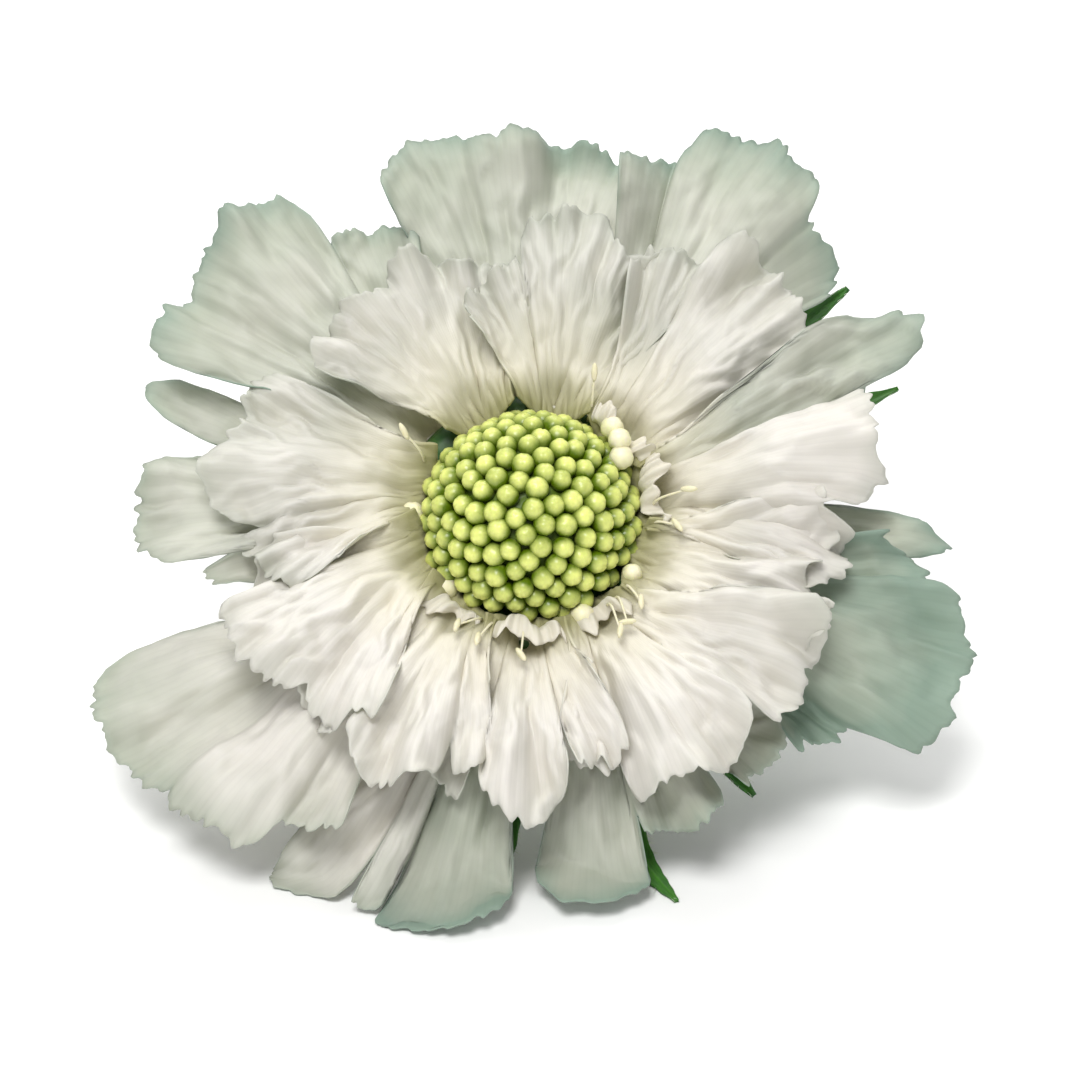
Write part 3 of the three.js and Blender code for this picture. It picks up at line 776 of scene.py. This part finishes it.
class ScabiosaSettings(bpy.types.PropertyGroup):
    """Sizes and colours of the flower and its stage."""

    petal_thickness: metres("Petal thickness", "Thickness of a petal away from its edge", 0.00026)
    petal_teeth: metres("Petal teeth", "Depth of the small teeth along a petal's end", 0.0005)
    outer_pleat: metres("Outer pleats", "Depth of the pleats of the outer petals", 0.00016)
    inner_crumple: metres("Inner crumples", "Depth of the crumples of the inner petals", 0.00115)
    bud_radius: metres("Bud radius", "Radius of a closed disc bud", 0.00099)
    petal_white: colour("Petal white", "The lit inner petals", "#E8E4DA")
    # Petal green and mint stand partly for the outer petals' own green and partly for painted shade, on
    # lobes that lie in shade and along the margins.
    petal_green: colour("Petal green", "The greyish green of the outer petals", "#B4B9A9")
    petal_mint: colour("Petal mint", "The thin margins of the outer petals", "#8B9F90")
    petal_cream: colour("Petal cream", "The claws of the petals, at the throat", "#EDE6CB")
    # The throat's olive is the tube's own colour with painted shade down the mouth.
    petal_throat_olive_and_shade: colour("Petal throat", "The depth of the florets' mouths", "#A3A070")
    # Bud light and dark: a painted highlight on the buds' tips and painted shade on their flanks, over the
    # tips' own paler colour.
    bud_light: colour("Bud light", "The tips of the buds", "#E2E884")
    bud_dark: colour("Bud dark", "The flanks of the buds", "#5A730A")
    core_dark: colour("Dome core", "Between the buds", "#566E18")
    bract_light: colour("Bract light", "The upper side of the bracts", "#4C8A27")
    bract_dark: colour("Bract dark", "The shaded green of the bracts", "#1F4F1F")
    stem_light: colour("Stem light", "The ribs of the stem", "#8DA65A")
    stem_dark: colour("Stem dark", "The furrows of the stem", "#5B7A34")
    hair_colour: colour("Hairs", "The down of the bracts and the stem", "#E9EFD8")
    stamen_light: colour("Stamen light", "The lit side of the stamens", "#EFEBD8")
    stamen_dark: colour("Stamen dark", "The shaded side of the stamens", "#CFC79B")
    floor_colour: colour("Floor", "The plain pale floor", "#FAFAF8")


def settings_of(context):
    """The scene's own copy of the settings."""
    return context.scene.scabiosa


def petal_looks(s, margin, arch, corner, pleat, pleats, crumple, ruffle, claw, claw_in, gutter):
    """
    The fine shape of a whorl's petals, in millimetres. Margin is how much greener the edge is, arch and
    corner how round a lobe's end is, pleats how many radians of wave one radian holds, claw half the limb's
    width at its throat, claw_in how far it passes the throat towards the axis, and gutter how far its sides
    turn up there.
    """
    return dict(
        thickness=s.petal_thickness / MM, teeth=s.petal_teeth / MM, margin=margin, arch=arch,
        corner=corner, pleat=pleat, pleats=pleats, crumple=crumple, ruffle=ruffle, claw=claw,
        claw_in=claw_in, gutter=gutter,
    )


# ---- Dome and its rim ----


def dome_ball():
    """Radius and centre height of the ball whose cap is the dome."""
    radius = (DOME_RADIUS**2 + DOME_HEIGHT**2) / (2 * DOME_HEIGHT)
    return radius, DOME_HEIGHT - radius


def bud_shape(rows, cols):
    """
    One bud of radius 1: a ball, a little longer than wide, whose tip is drawn in along four seams. Returns
    its points, its faces and how pale each point is, from 0 on the flanks to 1 at the tip: the tip's own
    paler colour with a painted highlight on it, and painted shade on the flanks.
    """
    polar = np.linspace(0, math.pi, rows + 2)[1:-1, None]
    turn = np.linspace(0, TAU, cols, endpoint=False)[None]
    seam = np.exp(-(((turn % (TAU / 4)) - TAU / 8) / 0.16) ** 2)
    r = 1 - 0.07 * seam * smoothstep(np.cos(polar), 0.2, 0.9)
    flat = r * np.sin(polar)
    shape = vec(flat * np.cos(turn), flat * np.sin(turn), 1.06 * r * np.cos(polar))
    points, faces = capped(shape, [0, 0, 0.97], [0, 0, -1.06])
    # Paleness by the angle from the tip: painted highlight on the tip and painted shade on the flanks, over
    # the tip's own paler colour.
    pale = smoothstep(np.cos(polar), 0.05, 1) ** 1.7 + 0 * turn
    return points, faces, np.concatenate([pale.ravel(), [1.0, 0.0]])


def disc_buds(radius):
    """
    All closed buds: spread over the dome's cap in equal areas by the golden angle, each moved and leaned a
    little its own way. Returns their points, faces and tones.
    """
    ball, centre = dome_ball()
    k = np.arange(BUD_COUNT)
    cosine = 1 - (k + 0.5) / BUD_COUNT * DOME_HEIGHT / ball
    sine = np.sqrt(1 - cosine**2)
    out = vec(sine * np.cos(k * GOLDEN_ANGLE), sine * np.sin(k * GOLDEN_ANGLE), cosine)
    middle = ball * out + np.array([0, 0, centre]) + 0.15 * sway(vec(k, k + 0.3, k + 0.6))
    axis = unit(out + 0.12 * sway(vec(k + 0.1, k + 0.4, k + 0.7)))
    right = unit(np.cross(axis, toward(TAU * draw(k + 0.5)) + 1e-3))
    up = np.cross(axis, right)
    bud, faces, pale = bud_shape(9, 16)
    size = radius * (0.97 + 0.07 * sway(k + 0.8)) * (1 + 0.03 * cosine)
    points = middle[:, None] + (bud[None] * size[:, None, None]) @ np.stack([right, up, axis], 1)
    # Tone: the paleness, with its painted highlight and shade, drawn a little differently for each bud.
    tone = 0.05 + pale[None] * (0.82 + 0.14 * sway(k + 0.9)[:, None]) + 0.05 * sway(k + 0.2)[:, None]
    return points, repeated(faces, BUD_COUNT, len(bud)), tone


def dome_core():
    """The green core: the dome's cap, sunk between the buds and lumpy, closed by a skirt that narrows."""
    ball, centre = dome_ball()
    sunk = ball - BUD_STANDS_OUT - 0.1
    v = np.linspace(0.02, 1, 40)[:, None]
    turn = np.linspace(0, TAU, 72, endpoint=False)[None]
    angle = math.acos(1 - DOME_HEIGHT / ball) * v
    radius = sunk + 0.12 * noise(3 * v * np.cos(turn) * 6, 3 * v * np.sin(turn) * 6, 5)
    flat = radius * np.sin(angle)
    cap = vec(flat * np.cos(turn), flat * np.sin(turn), centre + radius * np.cos(angle))
    skirt = [vec(r * np.cos(turn[0]), r * np.sin(turn[0]), z) for r, z in CORE_SKIRT]
    return capped(np.concatenate([cap, skirt]), [0, 0, centre + sunk], [0, 0, CORE_SKIRT[-1][1]])


def cream_buds():
    """
    Paler buds at the dome's edge: each a club that swells to its head, rounded at the tip and drawn in
    along five seams, and leans in or out a little.
    """
    heap = Heap()
    rows, cols, tall = 16, 24, 4.2
    v = np.linspace(0.04, 0.96, rows)[:, None]
    turn = np.linspace(0, TAU, cols, endpoint=False)[None]
    seams = 1 - 0.09 * np.exp(-(((turn % (TAU / 5)) - TAU / 10) / 0.14) ** 2) * smoothstep(v, 0.3, 0.9)
    tip = np.sqrt(1 - np.clip((v - 0.62) / 0.38, 0, 1) ** 2)
    for k, (bearing, distance, height) in enumerate(CREAM_BUDS):
        r = seams * (0.8 + 0.35 * draw(k + 0.65)) * (0.45 + 0.65 * smoothstep(v, 0.25, 0.75)) * tip
        rings = vec(r * np.cos(turn), r * np.sin(turn), tall * v)
        points, faces = capped(rings, [0, 0, 0], [0, 0, tall - 0.1])
        outward = toward(math.radians(bearing))
        axis = unit(np.array([0, 0, 1.0]) + 0.3 * sway(k + 0.25) * outward)
        right = unit(np.cross(axis, outward))
        base = distance * outward + np.array([0, 0, height - tall])
        up = np.concatenate([np.broadcast_to(v, (rows, cols)).ravel(), [0, 1]])
        heap.add(base + points @ np.stack([right, np.cross(axis, right), axis]), faces, tone=0.3 + 0.6 * up)
    return heap


def stamens():
    """Stamens: each a thread bent outwards in a curve, with a small spindle across its end."""
    heap = Heap()
    for k, bearing in enumerate(STAMENS):
        outward = toward(math.radians(bearing))
        aside = np.array([-outward[1], outward[0], 0])
        start = 10.2 * outward + np.array([0, 0, 0.2])
        tall, bend = 3.6 + 1.6 * draw(k + 0.12), 2.2 + 1.5 * draw(k + 0.22)
        tip = start + bend * outward + 1.4 * sway(k + 0.32) * aside + np.array([0, 0, tall])
        mid = start + 0.25 * bend * outward + np.array([0, 0, 0.65 * tall])
        thread = smooth_path([start, mid, tip], 10)
        heap.add(*tube(thread, np.linspace(0.15, 0.08, 10)[:, None], 8), tone=0.5)
        lie = unit(aside * sway(k + 0.42) + outward * 0.6 + np.array([0, 0, 0.3]))
        t = np.linspace(-1, 1, 9)
        spindle = (0.27 * np.sqrt(1 - 0.93 * t**2))[:, None]
        heap.add(*tube(tip + 0.8 * t[:, None] * lie, spindle, 10), tone=0.35)
    return heap


def calyces():
    """The calyces, which close the ring between the dome and the mouths: a low band with a bristly top."""
    heap = Heap()
    turn = np.linspace(0, TAU, 180, endpoint=False)
    profile = np.array(
        [(6.8, -2.2), (7.6, -1.3), (9.4, -0.6), (10.4, -0.3), (11.3, -0.6), (11.9, -1.8), (9.4, -2.8)]
    )
    bristle = np.array([0, 0.6, 1, 1, 1, 0.6, 0])[:, None] * (0.35 * noise(turn * 24, 0 * turn, 2))
    heap.add_band(profile, turn, 0.2, bristle)
    return heap


# ---- Bracts and stem ----


def bract_surface(k, u, v):
    """
    A bract's middle surface: an arc from its root to its tip, widest at two fifths of its length, folded
    up along the midrib, with a small wave along its margins and fine teeth near the tip. Returns its
    points, and how far each is from the midrib and along it.
    """
    bearing, reach = BRACTS[k]
    bearing = math.radians(bearing)
    root = BRACT_ROOT[0] * toward(bearing)
    root[2] = BRACT_ROOT[1]
    tip = reach * toward(bearing + math.radians(3 * sway(k + 0.2)))
    rise, fall = (math.radians(a + 3 * sway(k + b)) for a, b in ((-6, 0.4), (-11, 0.6)))
    along = tip - root
    along[2] = 0
    distance = np.linalg.norm(along)
    along /= distance
    side, up = np.array([-along[1], along[0], 0]), np.array([0, 0, 1.0])
    turn = fall - rise
    length = distance * turn / (math.sin(fall) - math.sin(rise))
    angle = rise + turn * v
    out = length * (np.sin(angle) - math.sin(rise)) / turn
    high = length * (math.cos(rise) - np.cos(angle)) / turn
    outline = 0.62 + 0.7 * v - 1.24 * v**3
    teeth = 0.04 * u**5 * np.sin(length * v * 2.4 + k) * smoothstep(v, 0.2, 0.5)
    x = BRACT_HALF_WIDTH * u * outline + teeth
    wave = 0.12 * u * u * np.sin(length * v / 4 + 2 * k) * v
    ridge = 0.16 * np.cos(5 * math.pi * u) * (1 - v)
    lift = 0.55 * np.abs(x) - 0.3 + wave + ridge * 0.4
    points = root + along * out[..., None] + side * x[..., None] + up * high[..., None]
    points = points + (np.cos(angle) * lift)[..., None] * up - (np.sin(angle) * lift)[..., None] * along
    return laid_on_surface(points, 0.25), x, length * v


def add_hairs(heap, base, direction, length, thickness):
    """Fine hairs as slim three-sided spikes: base (n, 3), direction (n, 3), length (n)."""
    a = unit(np.cross(direction, np.array([0.31, 0.52, 0.79])))[:, None]
    b = np.cross(direction, a[:, 0])[:, None]
    turn = np.array([0, TAU / 3, 2 * TAU / 3])[:, None]
    ring = base[:, None] + thickness * (a * np.cos(turn) + b * np.sin(turn))
    tip = base + direction * length[:, None]
    points = np.concatenate([ring, tip[:, None]], 1)
    faces = [np.array([[0, 1, 3], [1, 2, 3], [2, 0, 3], [0, 2, 1]])]
    heap.add(points, repeated(faces, len(base), 4), tone=0.9)


def involucre():
    """Bracts, blades that are thicker along the midrib, on their disc, and the hairs on their margins."""
    heap, fringe = Heap(), Heap()
    u, v = np.meshgrid(np.linspace(-1, 1, 17), np.linspace(0, 1, 61))
    keel = np.exp(-((u / 0.18) ** 2))
    hair = np.arange(BRACT_HAIRS)
    side = np.where(hair % 2, 1.0, -1.0)
    for k in range(len(BRACTS)):
        points, x, along = bract_surface(k, u, v)
        thickness = 0.3 + 0.32 * keel * (1 - v) + 0.12 * keel
        heap.add_blade(points, thickness, np.stack([x, along], -1), 0.45 + 0.35 * keel, 0.3 + 0.3 * keel)
        at = draw(hair * 1.7 + 31 * k)
        start, _, _ = bract_surface(k, side * 0.97, at)
        inside, _, _ = bract_surface(k, side * 0.5, np.clip(at - 0.02, 0, 1))
        direction = unit(start - inside + 0.2 * sway(vec(at, at + 3, at + 7)))
        add_hairs(fringe, start, direction, 0.5 + 0.5 * draw(at * 99), 0.035)
    disc = np.array([(3.1, -6.6), (5.7, -6.6), (6.3, -6.2), (6.2, -5.9), (3.1, -5.9)])
    heap.add_band(disc, np.linspace(0, TAU, 48, endpoint=False), 0.35)
    return heap, fringe


def stem_path():
    """The stem's middle line in the world: down from the head in a bend, then along the surface."""
    ends = np.array([[0, 0, SHOULDER_HEIGHT - 1.2], [0, 0, SHOULDER_HEIGHT - STEM_BEND]])
    start, corner = out_of_head(ends)
    lying, y = STEM_RADIUS - 0.08, corner[1]
    foot = np.array([0.12 * STEM_SWAY, y + 14, lying])
    t = np.linspace(0, 1, 7)[:, None]
    bend = (1 - t) ** 2 * start + 2 * t * (1 - t) * corner + t * t * foot
    rest = [
        [0.3 * STEM_SWAY, y + 24, lying],
        [0.6 * STEM_SWAY, 0.5 * (y + 24 + STEM_LYING_TO), lying],
        [STEM_SWAY, STEM_LYING_TO, lying],
    ]
    return smooth_path(np.concatenate([bend, rest]), 160)


def stem():
    """
    The stem, a tube with ten ribs, the flared shoulder turned round the head's axis, and fine hairs that
    stand out of the stem and lean a little towards its head.
    """
    heap, down = Heap(), Heap()
    path = stem_path()
    sides = 40
    turn = np.linspace(0, TAU, sides, endpoint=False)
    t = np.linspace(0, 1, len(path))[:, None]
    ribs = 0.045 * np.cos(10 * turn) + 0.02 * noise(t * 40, np.cos(turn) * 3 + 5, 3)
    points, faces = tube(path, STEM_RADIUS * (1 + ribs), sides)
    points[:, 2] = np.maximum(points[:, 2], 0)
    uv = np.stack(np.broadcast_arrays(turn * STEM_RADIUS, t * 100), -1).reshape(-1, 2)
    uv = np.concatenate([uv, [[0, 0], [0, 100]]])
    heap.add(points, faces, uv, np.concatenate([(0.45 + 6 * ribs).ravel(), [0.5, 1.0]]))

    stops = [(0.9, -10.4), (1.5, -9.6), (1.9, -8.6), (2.9, -7.5), (4.2, -6.95), (2.75, -6.9), (2.7, -3.8)]
    fine = np.linspace(0, len(stops) - 1, 37)
    r, z = (np.interp(fine, np.arange(len(stops)), c)[:, None] for c in zip(*stops))
    swell = 1 + 0.03 * np.cos(10 * turn)
    rings = vec(r * swell * np.cos(turn), r * swell * np.sin(turn), z)
    points, faces = capped(rings, [0, 0, -10.4], [0, 0, -3.75])
    heap.add(out_of_head(points), faces, tone=0.5)

    k = np.arange(STEM_HAIRS)
    at = (draw(k * 0.73) * (len(path) - 2)).astype(int)
    tangent, a, b = frames_along(path)
    angle = TAU * draw(k * 0.31 + 7)
    out = a[at] * np.cos(angle)[:, None] + b[at] * np.sin(angle)[:, None]
    base = path[at] + (STEM_RADIUS * 0.98) * out
    clear = base[:, 2] > 0.9
    lean = unit(out - 0.25 * tangent[at] + 0.3 * sway(vec(k * 0.11, k * 0.13, k * 0.17)))
    add_hairs(down, base[clear], lean[clear], (0.45 + 0.5 * draw(k * 0.91))[clear], 0.03)
    return heap, down


# ---- Operators ----


class SCABIOSA_OT_outer_florets(bpy.types.Operator):
    """Make the outer ray florets, one piece each"""

    bl_idname = "scabiosa.outer_florets"
    bl_label = "Outer ray florets"

    def execute(self, context):
        s = settings_of(context)
        looks = petal_looks(
            s, margin=0.38, arch=0.17, corner=0.4, pleat=s.outer_pleat / MM, pleats=27, crumple=0.9,
            ruffle=1.4, claw=2.6, claw_in=1.0, gutter=0.9,
        )
        material = petal_material("outer_petal_tissue", s)
        make_florets(
            "outer_floret", OUTER_FLORETS, OUTER_WHORL, "ray_florets_outer", looks,
            OUTER_GREEN_AND_SHADE, OUTER_SLITS, NO_LIPS, material,
        )
        return {"FINISHED"}


class SCABIOSA_OT_inner_florets(bpy.types.Operator):
    """Make the inner ray florets, one piece each, some with a lip that stands against the dome"""

    bl_idname = "scabiosa.inner_florets"
    bl_label = "Inner ray florets"

    def execute(self, context):
        s = settings_of(context)
        looks = petal_looks(
            s, margin=0.22, arch=0.13, corner=0.34, pleat=0.17, pleats=30, crumple=s.inner_crumple / MM,
            ruffle=2.1, claw=3.6, claw_in=2.0, gutter=1.6,
        )
        material = petal_material("inner_petal_tissue", s)
        make_florets(
            "inner_floret", INNER_FLORETS, INNER_WHORL, "ray_florets_inner", looks,
            INNER_GREEN_AND_SHADE, INNER_SLITS, LIP_HEIGHTS, material,
        )
        return {"FINISHED"}


class SCABIOSA_OT_disc_buds(bpy.types.Operator):
    """Make the dome of closed disc buds and the green core between them"""

    bl_idname = "scabiosa.disc_buds"
    bl_label = "Disc buds"

    def execute(self, context):
        s = settings_of(context)
        buds, core = Heap(), Heap()
        points, faces, tone = disc_buds(s.bud_radius / MM)
        buds.add(points, faces, tone=tone)
        core.add(*dome_core(), tone=0.3)
        waxy = waxy_material("bud_waxy_tissue", s.bud_dark, s.bud_light, 900.0, 0.3)
        green = waxy_material("receptacle_green_tissue", s.core_dark, s.bud_dark, 700.0, 0.55)
        stand_for("bud_dome", buds.piece("disc_buds", waxy), core.piece("dome_core", green))
        return {"FINISHED"}


class SCABIOSA_OT_rim(bpy.types.Operator):
    """Make the cream buds, the stamens and the calyces between the dome and the petals"""

    bl_idname = "scabiosa.rim"
    bl_label = "Cream buds, stamens and calyces"

    def execute(self, context):
        s = settings_of(context)
        cream = waxy_material("cream_bud_tissue", s.bud_light, s.petal_cream, 900.0, 0.45)
        anther = waxy_material("stamen_cream_tissue", s.stamen_dark, s.stamen_light, 1500.0, 0.6)
        green = leaf_material("calyx_green_tissue", s.bract_dark, s.core_dark)
        stand_for(
            "ray_florets_inner",
            cream_buds().piece("cream_buds", cream),
            stamens().piece("stamens", anther),
            calyces().piece("floret_calyces", green),
        )
        return {"FINISHED"}


class SCABIOSA_OT_involucre(bpy.types.Operator):
    """Make the leafy bracts under the petals, with their hairs"""

    bl_idname = "scabiosa.involucre"
    bl_label = "Involucre"

    def execute(self, context):
        s = settings_of(context)
        bracts, fringe = involucre()
        leaf = leaf_material("bract_leaf_tissue", s.bract_dark, s.bract_light)
        down = leaf_material("hair_down", s.stem_light, s.hair_colour)
        stand_for("involucre", bracts.piece("bracts", leaf), fringe.piece("bract_hairs", down))
        return {"FINISHED"}


class SCABIOSA_OT_stem(bpy.types.Operator):
    """Make the stem, its flared shoulder and its hairs"""

    bl_idname = "scabiosa.stem"
    bl_label = "Stem"

    def execute(self, context):
        s = settings_of(context)
        surface, fuzz = stem()
        green = leaf_material("stem_green_tissue", s.stem_dark, s.stem_light)
        down = leaf_material("stem_hair_down", s.stem_light, s.hair_colour)
        pieces = (surface.piece("stem_surface", green, False), fuzz.piece("stem_hairs", down, False))
        stand_for("stem", *pieces)
        return {"FINISHED"}


# The stage, in metres: the floor's half width, how far it reaches in front, where it starts to rise behind
# the flower, the radius of that rise's curve, and how high its back stands. Then each softbox: its name,
# place, side and power, and the point that both look at.
FLOOR_HALF_WIDTH = 1.6
FLOOR_FRONT = -1.4
FLOOR_TURNS_UP = 1.2
FLOOR_CURVE = 0.5
FLOOR_TOP = 2.0
SOFTBOXES = (
    ("softbox_back", (0.0, 0.45, 0.85), 0.6, 4.6),
    ("softbox_front", (-0.12, -0.5, 0.86), 0.36, 7.5),
)
LIT_POINT = Vector((0, -0.015, 0.02))

# The camera: its lens, its distance, how far it looks down, the height in the dome, in millimetres, that the
# frame is set by, and how far the frame's centre lies below that and to its right.
CAMERA_LENS = 200
CAMERA_DISTANCE = 0.512
CAMERA_ELEVATION = math.radians(31)
DOME_MIDDLE = 2.5
FRAME_BELOW = 0.0026
FRAME_RIGHT = 0.0008


class SCABIOSA_OT_stage(bpy.types.Operator):
    """Make the pale floor, the soft lights and the camera"""

    bl_idname = "scabiosa.stage"
    bl_label = "Floor, lights and camera"

    def execute(self, context):
        s = settings_of(context)
        scene = context.scene

        # The floor: a flat sheet that sweeps up far behind the flower in a quarter of a circle.
        bend = np.linspace(0.1, math.pi / 2, 10)
        x = np.linspace(-FLOOR_HALF_WIDTH, FLOOR_HALF_WIDTH, 9)[None]
        flat = np.linspace(FLOOR_FRONT, FLOOR_TURNS_UP, 12)
        back = FLOOR_TURNS_UP + FLOOR_CURVE
        y = np.concatenate([flat, FLOOR_TURNS_UP + FLOOR_CURVE * np.sin(bend), [back]])
        z = np.concatenate([0 * flat, FLOOR_CURVE * (1 - np.cos(bend)), [FLOOR_TOP]])
        points = vec(x, y[:, None], z[:, None])
        mesh = bpy.data.meshes.new("floor")
        faces = grid_faces(*points.shape[:2])[:, ::-1]
        mesh.from_pydata(points.reshape(-1, 3).tolist(), [], faces.tolist())
        mesh.materials.append(backdrop_material(s.floor_colour))
        mesh.polygons.foreach_set("use_smooth", np.ones(len(mesh.polygons), bool))
        floor = bpy.data.objects.new("floor", mesh)
        scene.collection.objects.link(floor)

        world = bpy.data.worlds.new("studio")
        world.use_nodes = True
        light_all_round = world.node_tree.nodes["Background"]
        light_all_round.inputs["Color"].default_value = (*linear("#F5F4F8"), 1)
        light_all_round.inputs["Strength"].default_value = 0.5
        scene.world = world

        for name, at, size, power in SOFTBOXES:
            light = bpy.data.lights.new(name, "AREA")
            light.size = size
            light.energy = power
            lamp = bpy.data.objects.new(name, light)
            lamp.location = at
            lamp.rotation_mode = "QUATERNION"
            lamp.rotation_quaternion = (LIT_POINT - Vector(at)).to_track_quat("-Z", "Y")
            scene.collection.objects.link(lamp)

        camera = bpy.data.cameras.new("camera")
        camera.lens = CAMERA_LENS
        camera.clip_start = 0.01
        view = bpy.data.objects.new("camera", camera)
        level, steep = math.cos(CAMERA_ELEVATION), math.sin(CAMERA_ELEVATION)
        below = FRAME_BELOW * Vector((0, -steep, -level))
        dome = Vector(out_of_head(np.array([0, 0, DOME_MIDDLE])) * MM)
        centre = dome + below + Vector((FRAME_RIGHT, 0, 0))
        view.location = centre + CAMERA_DISTANCE * Vector((0, -level, steep))
        view.rotation_mode = "QUATERNION"
        view.rotation_quaternion = (centre - view.location).to_track_quat("-Z", "Y")
        scene.collection.objects.link(view)
        scene.camera = view
        scene.view_settings.view_transform = "Standard"
        return {"FINISHED"}


class SCABIOSA_PT_flower(bpy.types.Panel):
    """Lists the pieces of the flower and what may be changed"""

    bl_idname = "SCABIOSA_PT_flower"
    bl_label = "Scabiosa"
    bl_space_type = "VIEW_3D"
    bl_region_type = "UI"
    bl_category = "Scabiosa"

    def draw(self, context):
        for operator in OPERATORS:
            self.layout.operator(operator.bl_idname)
        for name in ScabiosaSettings.__annotations__:
            self.layout.prop(settings_of(context), name)


OPERATORS = (
    SCABIOSA_OT_outer_florets,
    SCABIOSA_OT_inner_florets,
    SCABIOSA_OT_disc_buds,
    SCABIOSA_OT_rim,
    SCABIOSA_OT_involucre,
    SCABIOSA_OT_stem,
    SCABIOSA_OT_stage,
)
CLASSES = (ScabiosaSettings, *OPERATORS, SCABIOSA_PT_flower)


def register():
    for cls in CLASSES:
        bpy.utils.register_class(cls)
    bpy.types.Scene.scabiosa = PointerProperty(type=ScabiosaSettings)


def unregister():
    del bpy.types.Scene.scabiosa
    for cls in reversed(CLASSES):
        bpy.utils.unregister_class(cls)


def main():
    """Makes the flower and its stage."""
    register()
    bpy.ops.scabiosa.outer_florets()
    bpy.ops.scabiosa.inner_florets()
    bpy.ops.scabiosa.disc_buds()
    bpy.ops.scabiosa.rim()
    bpy.ops.scabiosa.involucre()
    bpy.ops.scabiosa.stem()
    bpy.ops.scabiosa.stage()


if __name__ == "__main__":
    main()
